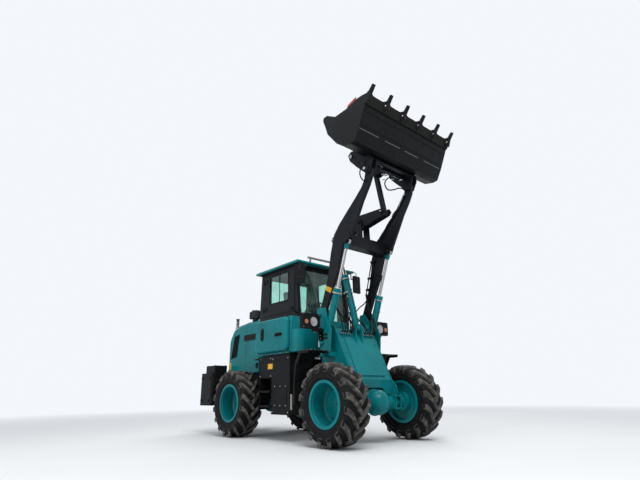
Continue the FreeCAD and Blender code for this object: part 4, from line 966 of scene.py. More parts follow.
def cab_trim():
    bm = bmesh.new()
    half = SCREEN_HALF - 0.004
    outline = rounded(-half, half, SCREEN[0][1] + 0.004, SCREEN[2][1] - 0.004, 0.035)
    add_loop(bm, [(screen_x(z) + 0.004, y, z) for y, z in outline], 0.011)
    outline = rounded(-0.526, 0.526, 2.204, 2.876, 0.035)
    add_loop(bm, [(-1.020 + 0.0596 * (z - 1.440) + 0.010, y, z) for y, z in outline], 0.011)
    # drip bead under the roof
    add_loop(bm, [(x, y, 2.947) for x, y in rounded(-0.955, 0.195, -0.628, 0.628, 0.03)], 0.010)
    piece("cab_seals", bm, "seal", "rear_frame")
    bm = bmesh.new()
    # wiper: motor cap, arm and blade on the windscreen
    motor = V((0.190, 0.05, 1.765))
    cap = [(0.030, -0.02), (0.034, 0.0), (0.030, 0.016), (0.012, 0.024), (0, 0.025)]
    add_lathe(bm, motor, (1, 0, 0.1), cap, 20)
    tip = V((screen_x(2.30) + 0.020, -0.10, 2.30))
    sweep(bm, [motor + V((0.012, 0, 0.0)), motor * 0.5 + tip * 0.5 + V((0.012, 0, 0)), tip], 0.006, 8)
    blade = [2.02 + i * 0.07 for i in range(9)]
    sweep(bm, [(screen_x(z) + 0.010, -0.06 - (z - 2.02) * 0.14, z) for z in blade], 0.006, 6)
    piece("wiper", bm, "trim", "rear_frame")
    bm = bmesh.new()
    rail = [(0.612, 0.00), (0.668, 0.02), (0.676, 0.10), (0.676, 0.50), (0.668, 0.58), (0.612, 0.60)]
    for side, x, low in ((1, -0.925, 1.60), (1, 0.192, 1.60), (-1, 0.192, 2.06)):
        sweep(bm, curve_points([(x, side * y, low + up) for y, up in rail], 5), 0.0125, 12)
        for z in (low, low + 0.60):
            foot = [(0.026, 0), (0.026, 0.005), (0.014, 0.007)]
            add_lathe(bm, (x, side * 0.620, z), (0, side, 0), foot, 18)
    piece("grab_rails", bm, "trim", "rear_frame")
    bm = bmesh.new()
    # head lining, sun blind, rear and side lining
    add_block(bm, (-0.90, -0.56, 2.925), (0.10, 0.56, 2.945))
    add_block(bm, (0.085, -0.50, 2.74), (0.105, 0.50, 2.90), turned(-6, "Y"))
    add_block(bm, (-0.95, -0.565, 1.46), (-0.935, 0.565, 2.16))
    for side, top in ((1, 1.56), (-1, 2.05)):
        add_block(bm, (-0.80, side * 0.55 - 0.012, 1.46), (-0.30, side * 0.55 + 0.012, top))
    piece("cab_lining", bm, "seal", "rear_frame", bevel=0.008)


def cab_controls():
    """Dashboard hood, gauges, levers with bellows and knobs, and the grip of the steering wheel."""
    bm = bmesh.new()
    add_block(bm, (-0.055, -0.21, 2.115), (0.125, 0.21, 2.175), turned(10, "Y"))
    gauge = [(0.045, 0), (0.048, 0.006), (0.040, 0.012), (0, 0.010)]
    for y in (-0.12, 0.0, 0.12):
        add_lathe(bm, (-0.062, y, 2.150), (-1, 0, 0.25), gauge)
    add_block(bm, (-0.64, -0.42, 1.80), (-0.20, -0.29, 1.90))
    bellows = [(0.034, 0), (0.026, 0.012), (0.031, 0.02), (0.022, 0.034), (0.026, 0.044), (0.012, 0.058),
               (0.008, 0.06)]
    knob = [(0.0, -0.012), (0.018, -0.006), (0.022, 0.012), (0.016, 0.03), (0, 0.036)]
    for i, x in enumerate((-0.30, -0.38)):
        foot = V((x, -0.355, 1.90))
        top = foot + V((0.01, -0.01 + i * 0.02, 0.20))
        add_lathe(bm, foot, Z_AXIS, bellows, 20)
        sweep(bm, [foot + V((0, 0, 0.05)), top], 0.007, 8)
        add_lathe(bm, top, Z_AXIS, knob, 16)
    piece("cab_controls", bm, "trim", "rear_frame", bevel=0.004)
    bm = bmesh.new()
    axis = V((-0.55, 0, 0.83)).normalized()
    hub = V((-0.060, 0, 2.200))
    turn = basis(axis)
    add_loop(bm, [hub + turn @ V((u, v, 0)) for u, v in ring_of(48, 0.190)], 0.0175, 10)
    add_lathe(bm, hub, axis, [(0.045, -0.015), (0.052, 0.0), (0.046, 0.016), (0.020, 0.022), (0, 0.023)], 28)
    spinner = [(0.010, 0), (0.010, 0.02), (0.022, 0.028), (0.022, 0.045), (0.012, 0.056), (0, 0.058)]
    add_lathe(bm, hub + turn @ V((0.10, 0.16, 0.018)), axis, spinner, 18)
    piece("steering_wheel_grip", bm, "vinyl", "rear_frame")


def roof_seal():
    """Dark drip seal under the rim of the roof."""
    lo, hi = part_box("cab_roof")
    inset = 0.034
    bm = bmesh.new()
    line = rounded(lo[0] + inset, hi[0] - inset, lo[1] + inset, hi[1] - inset, 0.080)
    add_loop(bm, [(x, y, lo[2] + 0.004) for x, y in line], 0.013)
    piece("roof_seal", bm, "seal", "rear_frame")


def door_trim(side):
    """Window seal, handle, stay screws and hinge caps of one door."""
    name = SIDE_NAME[side]
    body = "door_" + name
    right = side < 0
    low = DOOR_LOW[side]
    z0 = low + (0.225 if right else 0.330)
    z1 = DOOR_TOP - 0.055
    face = side * CAB_Y
    out = V((0, side, 0))
    bm = bmesh.new()
    for y in (face + side * 0.001, side * (CAB_Y - 0.037)):
        add_loop(bm, on_side(rounded(-0.652, -0.063, z0 + 0.003, z1 - 0.003, 0.03), y), 0.009)
    # sliding pane's middle bar
    sweep(bm, [(-0.355, side * 0.606, z0), (-0.355, side * 0.606, z1)], 0.008, 6)
    piece("door_seals_" + name, bm, "seal", body)
    bm = bmesh.new()
    z = low + (0.060 if right else 0.62)
    add_plate(bm, on_side(rounded(0.000, 0.105, z - 0.035, z + 0.035, 0.015), face), out, 0.006)
    line = [(0.085, face + side * 0.008, z), (0.080, face + side * 0.034, z),
            (0.020, face + side * 0.036, z - 0.004)]
    sweep(bm, curve_points(line, 5), 0.009, 8)
    y = side * (CAB_Y + 0.016)
    for z in (low + 0.150, DOOR_TOP - 0.130):
        for k in (-0.036, 0.036):
            add_lathe(bm, (-0.842, y, z + k - 0.006), Z_AXIS, [(0.0133, 0), (0.0133, 0.004)], 16)
        add_bolts(bm, (-0.802, -0.776), (y,), (z,), out, 0.006)
    piece("door_fittings_" + name, bm, "trim", body, bevel=0.001)
    bm = bmesh.new()
    for i in range(5):
        for z in (low + 0.020, 2.900):
            add_lathe(bm, (-0.780 + i * 0.86 / 4, face, z), out, [(0.008, 0), (0.007, 0.003), (0, 0.004)], 12)
    if right:
        for x in (-0.66, -0.36, -0.06):
            add_lathe(bm, (x, face, 2.215), out, [(0.009, 0), (0.008, 0.004), (0, 0.005)], 12)
    piece("door_screws_" + name, bm, "trim", body)


def mirror_glasses():
    heads = bmesh.new()
    glasses = bmesh.new()
    for side, reach, angle in MIRRORS:
        centre = V((0.350, side * reach, 2.715))
        turn = turned(side * angle, "Z")

        def facing(outline):
            return [centre + turn @ V((-0.0160, u, v)) for u, v in outline]

        add_loop(heads, facing(rounded(-0.094, 0.094, -0.164, 0.164, 0.026)), 0.0055)
        pane = facing(rounded(-0.088, 0.088, -0.158, 0.158, 0.022))
        add_plate(glasses, pane, turn @ V((-1, 0, 0)), 0.002)
        # ribbed back with the clamp of the arm
        for v in (-0.06, 0.06):
            lo = centre + V((0.012, -0.060, v - 0.004))
            add_block(heads, lo, centre + V((0.021, 0.060, v + 0.004)), turn, centre)
        add_rod(heads, centre + turn @ V((0.020, 0, 0.080)), centre + turn @ V((0.020, 0, 0.150)), 0.014, 14)
        # bent wire that steadies the arm
        wire = [(0.330, 0.520, 2.890), (0.332, 0.640, 2.935), (0.338, reach - 0.020, 2.960),
                (0.348, reach, 2.935), (0.350, reach, 2.870)]
        add_hose(heads, [(x, side * y, z) for x, y, z in wire], 0.0065)
        add_rod(heads, (0.330, side * 0.520, 2.872), (0.330, side * 0.520, 2.908), 0.013, 12)
    piece("mirror_housings", heads, "lining", "rear_frame")
    piece("mirror_glasses", glasses, "mirror", "rear_frame")


def cushion_mesh(lo, hi, crown, channels, axis):
    """Soft block: sides pull in at the corners, the top is crowned and sewn into channels."""
    bm = bmesh.new()
    n = 18
    lo = V(lo)
    hi = V(hi)
    grid = {}

    def corner(face_axis, end, i, j):
        """Vertex of the block's skin, made once."""
        t = [i / n, j / n]
        t.insert(face_axis, float(end))
        key = tuple(round(v, 4) for v in t)
        if key not in grid:
            grid[key] = bm.verts.new([lo[k] + (hi[k] - lo[k]) * key[k] for k in range(3)])
        return grid[key]

    for face_axis, end in itertools.product(range(3), (0, 1)):
        for i, j in itertools.product(range(n + 1), repeat=2):
            corner(face_axis, end, i, j)
        for i, j in itertools.product(range(n), repeat=2):
            around = ((i, j), (i + 1, j), (i + 1, j + 1), (i, j + 1))
            bm.faces.new([corner(face_axis, end, a, b) for a, b in around])
    centre = (lo + hi) / 2
    half = (hi - lo) / 2
    for v in bm.verts:
        q = V(((v.co[k] - centre[k]) / half[k]) for k in range(3))
        # superellipsoid shape, so that edges and corners are round
        size = sum(abs(c) ** 5.0 for c in q) ** 0.2
        q = q / max(size, 1e-6)
        depth = q[axis]
        u, w = [q[k] for k in range(3) if k != axis]
        if depth > 0.2:
            groove = math.exp(-((abs(u) - 0.62) / 0.055) ** 2) if channels else 0.0
            rows = sum(math.exp(-((w - c) / 0.05) ** 2) for c in channels)
            rise = crown * (1 - u * u) * (1 - w * w)
            sewn = 0.10 * min(1.0, groove + rows) * (1 - max(abs(u), abs(w)) ** 6)
            q[axis] = depth * (1.0 + rise - sewn) / (1 + crown)
        v.co = V((centre[k] + q[k] * half[k]) for k in range(3))
    return bm


def driver_seat():
    pivot = V((-0.710, 0, 1.925))
    lean = turned(-9.9, "Y")
    pads = [
        # name, corners, channels, axis of the thickness
        ("seat_cushion", (-0.755, -0.245, 1.815), (-0.232, 0.245, 1.930), (-0.45, 0.0, 0.45), 2),
        ("seat_back", (-0.770, -0.235, 1.935), (-0.655, 0.235, 2.495), (-0.5, 0.0, 0.5), 0),
        ("seat_headrest", (-0.770, -0.138, 2.505), (-0.690, 0.138, 2.690), (), 0),
    ]
    for name, lo, hi, channels, axis in pads:
        bm = cushion_mesh(lo, hi, 0.10, channels, axis)
        if axis == 0:
            for v in bm.verts:
                v.co = pivot + lean @ (v.co - pivot)
        pad = piece(name, bm, "cloth", "rear_frame", subdivide=1, smooth=80)
        if name == "seat_cushion":
            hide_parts("seat")
    bm = bmesh.new()
    # pan, suspension bellows, slide rails and the posts of the headrest
    add_block(bm, (-0.750, -0.240, 1.785), (-0.240, 0.240, 1.818))
    for i in range(7):
        z = 1.50 + i * 0.040
        fold = 0.008 * (i % 2)
        add_block(bm, (-0.690 + fold, -0.172, z), (-0.340 - fold, 0.172, z + 0.030))
    for y in (-0.14, 0.14):
        add_block(bm, (-0.700, y - 0.02, 1.455), (-0.330, y + 0.02, 1.500))
    for y in (-0.05, 0.05):
        sweep(bm, [lean @ V((-0.02, y, up)) + pivot for up in (0.50, 0.66)], 0.007, 8)
    piece("seat_base", bm, "vinyl", "rear_frame", bevel=0.006)
    bm = bmesh.new()
    add_loop(bm, [(x, y, 1.872) for x, y in rounded(-0.752, -0.236, -0.241, 0.241, 0.07, 6)], 0.0045, 6)
    piece("seat_piping", bm, "vinyl", "rear_frame")


def lamps():
    """Bezel plate over each lamp box, with the headlamp, the indicator and the box's bracket."""
    shells = bmesh.new()
    clear = bmesh.new()
    reflectors = bmesh.new()
    amber = bmesh.new()
    marks = bmesh.new()
    r = LAMP_R
    lo, hi = LAMP_BOX_Y
    bottom, top = LAMP_BOX_Z
    turnings = [
        # target, place across, height, segments, profile
        (shells, LAMP_Y, LAMP_Z, 56, [(r + 0.006, -0.002), (r + 0.006, 0.011), (r + 0.002, 0.015),
                                      (r - 0.003, 0.014), (r - 0.005, 0.009), (r - 0.005, -0.002)]),
        (reflectors, LAMP_Y, LAMP_Z, 56, [(r - 0.005, 0.0110), (0.66 * r, 0.0060), (0.36 * r, 0.0025),
                                          (0.018, 0.0012), (0.018, 0.0010), (0, 0.0010)]),
        (marks, LAMP_Y, LAMP_Z, 20, [(0.015, 0.0012), (0.015, 0.0060), (0.010, 0.0085), (0, 0.0090)]),
        (clear, LAMP_Y, LAMP_Z, 56, [(r - 0.004, 0.0125), (r * 0.8, 0.0140), (r * 0.4, 0.0150), (0, 0.0154)]),
        (shells, AMBER_Y, AMBER_Z, 40, [(0.046, -0.002), (0.046, 0.006), (0.043, 0.009), (0.039, 0.008),
                                        (0.039, -0.002)]),
        (amber, AMBER_Y, AMBER_Z, 40, [(0.039, 0.004), (0.036, 0.0105), (0.018, 0.0135), (0, 0.014)]),
    ]
    plug = [(0, 0), (0.012, 0.001), (0.014, 0.030), (0.014, 0.080), (0.009, 0.084), (0.009, 0.104),
            (0, 0.106)]
    for side in SIDES:
        y0, y1 = sorted((side * lo, side * hi))
        plate = [V((LAMP_FACE - 0.016, y, z)) for y, z in rounded(y0, y1, bottom, top, 0.022)]
        add_plate(shells, plate, X_AXIS, 0.016)
        # returned edge of the bezel, and the top of the box up to the tower
        add_loop(shells, [p + X_AXIS * 0.016 for p in plate], 0.004)
        add_side_block(shells, side, (0.775, LAMP_FACE - 0.014), (lo, 0.750), (bottom + 0.012, top - 0.004))
        for bm, y, z, seg, profile in turnings:
            add_lathe(bm, (LAMP_FACE, side * y, z), X_AXIS, profile, seg)
        ys = (side * (lo + 0.016), side * (hi - 0.016))
        add_bolts(marks, (LAMP_FACE,), ys, (bottom + 0.016, top - 0.016), X_AXIS, 0.0045)
        # upright bracket on the tower's plate, and the plug of the lamp's cable
        add_side_block(shells, side, (0.800, 0.812), (0.598, 0.658), (1.520, 1.722))
        add_side_block(shells, side, (0.780, 0.840), (0.594, 0.602), (1.520, 1.700))
        add_bolts(marks, (0.812,), (side * 0.630,), (1.550, 1.600), X_AXIS, 0.008)
        add_lathe(marks, (0.760, side * 0.612, 1.420), Z_AXIS, plug, 16)
    piece("lamp_bezels", shells, "trim", "front_frame", bevel=0.0012)
    piece("lamp_reflectors", reflectors, "chrome", "front_frame")
    piece("lamp_lenses", clear, "lamp", "front_frame")
    piece("lamp_indicators", amber, "amber", "front_frame")
    piece("lamp_screws", marks, "zinc", "front_frame")
    bm = bmesh.new()
    cable = [(0.760, 0.612, 1.524), (0.762, 0.618, 1.580), (0.772, 0.640, 1.640), (0.780, 0.680, 1.690),
             (0.782, 0.700, 1.712)]
    for side in SIDES:
        add_hose(bm, [(x, side * y, z) for x, y, z in cable], 0.006)
    piece("lamp_cables", bm, "hose", "front_frame")


def axle_bolts(bm, nose):
    """Studs that clamp an axle to its seats, and the screws of the differential's cover."""
    for side, y, dx in itertools.product(SIDES, (0.405, 0.525), (-0.110, 0.110)):
        x = nose * AXLE_X + dx
        add_rod(bm, (x, side * y, 0.455), (x, side * y, 0.690), 0.011, 12)
        add_bolt(bm, (x, side * y, 0.488), (0, 0, -1), 0.018)
        add_bolt(bm, (x, side * y, 0.672), (0, 0, 1), 0.018)
    for y, z in ring_of(12, 0.182):
        add_bolt(bm, (nose * AXLE_X + nose * 0.030, y, TYRE_R + z), (nose, 0, 0), 0.008)


def add_side_pins(bm, side, pins):
    """Pin heads on one side: place as (x, z), distance out, radius."""
    for (x, z), y, r in pins:
        add_pin_head(bm, (x, side * y, z), (0, side, 0), r)


def frame_details():
    """Bolts of the sloped panel, bolts and clamps of the axles, and blanks, pins and welds of the tower."""
    along = PANEL_FOLD - PANEL_TOP
    slope = along.normalized()
    axles = ((1, "front"), (-1, "rear"))
    bm = bmesh.new()
    for y in (-0.385, 0.385):
        for share in (0.10, 0.30, 0.50, 0.70, 0.90):
            add_bolt(bm, PANEL_TOP + along * share + V((0, y, 0)), PANEL_OUT, 0.008)
    for y in (-0.26, -0.09, 0.09, 0.26):
        add_bolt(bm, PANEL_TOP + along * 0.965 + V((0, y, 0)), PANEL_OUT, 0.007)
    for side in SIDES:
        for y, z in ((0.36, 0.865), (0.40, 0.760)):
            add_bolt(bm, (1.340, side * y, z), X_AXIS, 0.010)
    for nose, name in axles:
        axle_bolts(bm, nose)
        piece("axle_bolts_" + name, bm, "teal", name + "_frame")
        bm = bmesh.new()
    cover = [(0.176, 0), (0.196, 0), (0.196, 0.024), (0.176, 0.028)]
    for nose, name in axles:
        x = nose * AXLE_X
        for side in SIDES:
            for zs in ((0.470, 0.488), (0.655, 0.672)):
                add_side_block(bm, side, (x - 0.135, x + 0.135), (0.380, 0.550), zs)
        add_lathe(bm, (x + nose * 0.004, 0, TYRE_R), (nose, 0, 0), cover, 48)
        piece("axle_clamps_" + name, bm, "teal", name + "_frame", bevel=0.003)
        bm = bmesh.new()
    # dark blanking squares on the tower's outer plates
    for side, i, j in itertools.product(SIDES, range(3), range(2)):
        x = 0.842 + i * 0.038
        z = 1.535 + j * 0.056
        add_side_plate(bm, side, TOWER_Y, rounded(x, x + 0.028, z, z + 0.042, 0.004, 3), 0.003)
    piece("tower_blanks", bm, "trim", "front_frame")
    bm = bmesh.new()
    y = TOWER_Y + 0.010
    for side in SIDES:
        add_side_pins(bm, side, [(BOOM_PIVOT, y, 0.044), (LIFT_BASE, y, 0.034), (TILT_BASE, 0.090, 0.032)])
    piece("tower_pins", bm, "teal", "front_frame")
    bm = bmesh.new()
    # weld beads where the panel meets the tower plates
    for side in SIDES:
        y = side * 0.4265
        line = [PANEL_TOP + V((0.002, y, 0)), PANEL_FOLD + V((0.002, y, 0)), (1.342, y, 0.702)]
        sweep(bm, line, 0.006, 6)
        for x in (0.8885, 0.9135):
            sweep(bm, [(x, y, 1.700), (x, y, 1.832)], 0.004, 6)
    # beads round the panel's raised field and across its lower end
    ends = (FIELD_FROM * along.length, FIELD_TO * along.length)
    field = rounded(-FIELD_HALF, FIELD_HALF, *ends, FIELD_CORNER_R)
    add_loop(bm, [PANEL_TOP + slope * u + PANEL_OUT * FIELD_T + V((0, y, 0)) for y, u in field], 0.0035)
    seam = PANEL_TOP + slope * 0.845
    for y in (-0.30, 0.30):
        sweep(bm, [seam + V((0, y, 0)), seam + V((0, -y * 0.99, 0))], 0.004, 6)
    piece("panel_welds", bm, "teal", "front_frame")


def spring_hose():
    """Hose in a spring guard on the inside of the left arm."""
    bm = bmesh.new()
    start = V((1.560, 0.468, 3.668))
    end = V((1.785, 0.468, 3.880))
    line = [start, start.lerp(end, 0.3) + V((-0.02, 0, 0.02)), start.lerp(end, 0.7), end]
    line = curve_points(line, 10)
    sweep(bm, line, 0.0085, 10)
    helix = []
    for i in range(SPRING_TURNS * 10 + 1):
        t = i / (SPRING_TURNS * 10)
        place = t * (len(line) - 1)
        k = min(int(place), len(line) - 2)
        turn = basis((line[k + 1] - line[k]).normalized())
        a = 2 * math.pi * SPRING_TURNS * t
        wire = V((0.0110 * math.cos(a), 0.0110 * math.sin(a), 0))
        helix.append(line[k].lerp(line[k + 1], place - k) + turn @ wire)
    sweep(bm, helix, 0.0018, 4)
    piece("spring_hose", bm, "bolt", "boom")


def boom_details():
    heads = bmesh.new()
    pipes = bmesh.new()
    clamps = bmesh.new()
    bands = bmesh.new()
    boss = [(0.075, 0), (0.081, 0.001), (0.081, 0.008), (0.075, 0.010)]
    band = [(0.874, 2.421), (1.020, 2.354), (0.983, 2.279), (0.848, 2.352)]
    for side in SIDES:
        out = V((0, side, 0))
        for y, d in ((ARM_OUT + 0.022, out), (ARM_IN - 0.022, -out)):
            add_pin_head(heads, (LIFT_EYE[0], side * y, LIFT_EYE[1]), d, 0.036)
        add_side_pins(heads, side, [(ROCKER_PIVOT, 0.112, 0.034)])
        add_lathe(heads, (BOOM_PIVOT[0], side * (ARM_OUT + 0.002), BOOM_PIVOT[1]), out, boss, 40)
        add_side_plate(bands, side, ARM_OUT, band, 0.002)
        # steel pipe that stands off the rear edge of the arm's inside, in clamps, and one close to the plate
        sweep(pipes, curve_points(on_side(ARM_PIPE, side * 0.452), 6), 0.010, 10)
        line = [(x + 0.052, side * (ARM_IN - 0.012), z - 0.020) for x, z in ARM_PIPE[:5]]
        sweep(pipes, curve_points(line, 6), 0.009, 10)
        for x, z in ARM_PIPE[1:4]:
            add_side_block(clamps, side, (x - 0.022, x + 0.070), (0.436, ARM_IN), (z - 0.017, z + 0.017))
            add_bolt(clamps, (x + 0.026, side * 0.436, z), -out, 0.008)
            add_bolt(pipes, (x + 0.026, side * 0.430, z), -out, 0.006)
    piece("boom_pins", heads, "charcoal", "boom")
    piece("boom_pipes", pipes, "charcoal", "boom")
    piece("boom_clamps", clamps, "trim", "boom", bevel=0.002)
    piece("boom_bands", bands, "yellow", "boom")
    spring_hose()
    bm = bmesh.new()
    for side, shift in ((1, 0.0), (1, 0.016), (-1, 0.0)):
        y = side * 0.470
        line = [(1.300, side * 0.456, 3.384), (1.350, side * 0.462, 3.440), (1.460 - shift, y, 3.560 + shift),
                (1.620 - shift, y, 3.700 + shift), (1.770 - shift, y, 3.850 + shift),
                (1.880 - shift * 0.3, y, 4.010)]
        add_hose(bm, line, 0.011)
    piece("arm_hoses", bm, "hose", "boom")
    bm = bmesh.new()
    # welds of the cross tube, then the folded seams along the arms' faces
    tube = [(1.190, 3.030), (1.345, 3.050), (1.345, 3.250), (1.190, 3.240)]
    for side in SIDES:
        add_loop(bm, on_side(tube, side * 0.4805), 0.006, 6)
    seams = ((ARM_OUT, [(1.718, 3.760), (1.562, 3.557), (1.425, 3.362)]),
             (ARM_IN, [(1.871, 4.069), (1.569, 3.685), (1.339, 3.477), (1.216, 3.265)]))
    for side in SIDES:
        for y, line in seams:
            sweep(bm, on_side(line, side * y), 0.0035, 6)
    piece("boom_welds", bm, "charcoal", "boom")


def linkage_details():
    bm = bmesh.new()
    ring = [(0.045, 0), (0.060, 0), (0.060, 0.006), (0.045, 0.006)]
    for side in SIDES:
        add_side_pins(bm, side, [(ROCKER_FRONT, 0.082, 0.034), (ROCKER_REAR, 0.074, 0.034)])
        add_lathe(bm, (ROCKER_PIVOT[0], side * 0.074, ROCKER_PIVOT[1]), (0, side, 0), ring, 36)
    piece("rocker_pins", bm, "charcoal", "rocker")
    bm = bmesh.new()
    for side in SIDES:
        for x, z in (ROCKER_FRONT, ROCKER_REAR):
            add_bolt(bm, (x, side * 0.096, z), (0, side, 0), 0.016)
    piece("rocker_bolts", bm, "zinc", "rocker")
    bm = bmesh.new()
    ends = bmesh.new()
    cap = [(0.050, 0), (0.050, 0.010), (0.040, 0.014), (0, 0.014)]
    lock = [(0.030, 0), (0.030, 0.022), (0.024, 0.027), (0, 0.028)]
    collar = [(0.034, -0.02), (0.040, -0.018), (0.040, 0.0), (0.018, 0.004)]
    x, z = 1.905, 4.320
    for side in SIDES:
        out = (0, side, 0)
        add_side_pins(bm, side, [(LINK_TOP, 0.072, 0.036), (BOOM_TIP, 0.582, 0.046)])
        # cap and bolts on the outer plates, and the bright ends of the lock pins
        add_lathe(bm, (1.908, side * 0.582, 4.262), out, cap, 28)
        for u, v in ((1.80, 4.33), (1.74, 4.44), (1.98, 4.28)):
            add_bolt(bm, (u, side * 0.582, v), out, 0.011)
        for u, v in ((1.929, 4.173), (1.639, 4.508)):
            add_lathe(ends, (u, side * 0.5825, v), out, lock, 24)
        # lock cylinders lying across the coupler
        add_rod(bm, (x, side * 0.120, z), (x, side * 0.410, z), 0.034, 24)
        add_rod(bm, (x, side * 0.400, z), (x, side * 0.455, z), 0.018, 16)
        add_lathe(bm, (x, side * 0.400, z), out, collar, 24)
    add_block(bm, (1.870, -0.125, 4.290), (1.940, 0.125, 4.350))
    piece("coupler_pins", bm, "charcoal", "bucket", bevel=0.0015)
    # couplings and elbows of the coupler's hoses
    for x, y, z in ((1.659, 0.20, 4.337), (1.788, 0.20, 4.382), (1.860, 0.20, 4.266), (2.032, 0.20, 4.181),
                    (1.835, -0.02, 4.300), (1.835, 0.06, 4.300)):
        add_rod(ends, (x - 0.030, y, z), (x + 0.010, y, z - 0.012), 0.013, 6)
        add_rod(ends, (x + 0.010, y, z - 0.012), (x + 0.030, y, z - 0.018), 0.009, 10)
    piece("coupler_fittings", ends, "zinc", "bucket")


def bucket_details():
    along = (LIP - EDGE_BACK).normalized()
    out = V((along.z, 0, -along.x))
    bolts = bmesh.new()
    plates = bmesh.new()
    # lobed plate under each tooth, with three bolts
    half = [(0.078, -0.020), (0.064, -0.072), (0.034, -0.130), (0.018, -0.158)]
    lobe = [(-0.078, -0.020)] + half + [(-dy, u) for dy, u in half[:0:-1]]
    limit = BUCKET_HALF - 0.003
    for i in range(TEETH):
        y = -TEETH_SPAN / 2 + i * TEETH_SPAN / (TEETH - 1)
        corners = []
        for dy, u in lobe:
            corners.append(LIP + along * u + out * 0.0215 + V((0, max(-limit, min(limit, y + dy)), 0)))
        add_plate(plates, corners, out, 0.010)
        for dy, u in ((-0.036, -0.058), (0.036, -0.058), (0.0, -0.116)):
            near = max(-limit + 0.017, min(limit - 0.017, y + dy))
            add_bolt(bolts, LIP + along * u + V((0, near, 0)) + out * 0.0315, out, 0.014)
    # stitch welds across the floor, with gaps between their runs
    stitches = bmesh.new()
    d = FLOOR[1] - FLOOR[0]
    normal = V((-d.z, 0, d.x)).normalized()
    if normal.x < 0:
        normal = -normal
    at = FLOOR[0] + d * STITCH_AT + normal * 0.0015
    for y0, y1 in STITCH_RUNS:
        sweep(stitches, [at + V((0, y0, 0)), at + V((0, y1, 0))], 0.0055, 6)
    # beads along the floor and up its edges
    beads = bmesh.new()
    for y in (-0.560, -0.075, 0.450, 0.760):
        ends = [FLOOR[0] + d * share + normal * 0.001 + V((0, y, 0)) for share in (0.06, 0.96)]
        sweep(beads, ends, 0.003, 6)
    for side in SIDES:
        y = side * (BUCKET_HALF - 0.016)
        line = [(2.440, y, 4.905), (2.285, y, 4.552), (2.190, y, 4.375)]
        sweep(beads, [V(p) + normal * 0.002 for p in line], 0.005, 6)
    piece("bucket_tooth_plates", plates, "worn", "bucket", bevel=0.002)
    piece("bucket_bolts", bolts, "zinc", "bucket")
    piece("bucket_welds", beads, "steel_black", "bucket")
    piece("bucket_stitches", stitches, "bolt", "bucket")
    bm = bmesh.new()
    corners = [(2.050, 5.020), (2.085, 5.075), (2.270, 5.128), (2.262, 5.075)]
    for side in SIDES:
        add_plate(bm, on_side(corners, side * 1.0735), (0, -side, 0), 0.006)
    piece("bucket_markers", bm, "red", "bucket")


def add_gland(bm, at, axis, r, rod_r):
    """Gland nut, clamp ring and wiper at the mouth of a barrel."""
    add_lathe(bm, at, axis, [(r, -0.085), (r + 0.010, -0.082), (r + 0.010, -0.066), (r, -0.063)], 40)
    mouth = [(r + 0.002, 0), (r - 0.006, 0.006), (rod_r + 0.010, 0.008), (rod_r + 0.006, 0.014),
             (rod_r + 0.001, 0.014)]
    add_lathe(bm, at, axis, mouth, 40)


def add_feed_pipe(bm, base, d, length, r):
    """Pipe along a barrel of the radius r, with its ports, its clamps and the elbow at the base."""
    front = V((d.z, 0, -d.x))
    beside = front * (r + 0.016)
    low = base + d * 0.16
    high = base + d * (length - 0.12)
    line = [low + front * (r - 0.005), low + beside + d * 0.03, high + beside - d * 0.03,
            high + front * (r - 0.005)]
    sweep(bm, curve_points(line, 6), 0.0085, 10)
    port = [(0.020, 0), (0.020, 0.020), (0.014, 0.022), (0.009, 0.024)]
    for p in (low, high):
        add_lathe(bm, p + front * (r - 0.010), front, port, 18)
    half = V((0.013, 0.013, 0.011))
    for share in (0.35, 0.7):
        p = base + d * (length * share)
        add_lathe(bm, p - d * 0.012, d, [(r, 0), (r + 0.004, 0.001), (r + 0.004, 0.023), (r, 0.024)], 32)
        add_block(bm, p + beside - half, p + beside + half)
    elbow = [(0.018, 0), (0.018, 0.026), (0.012, 0.030), (0, 0.031)]
    add_lathe(bm, low - d * 0.06 + front * (r - 0.010), front, elbow, 6)


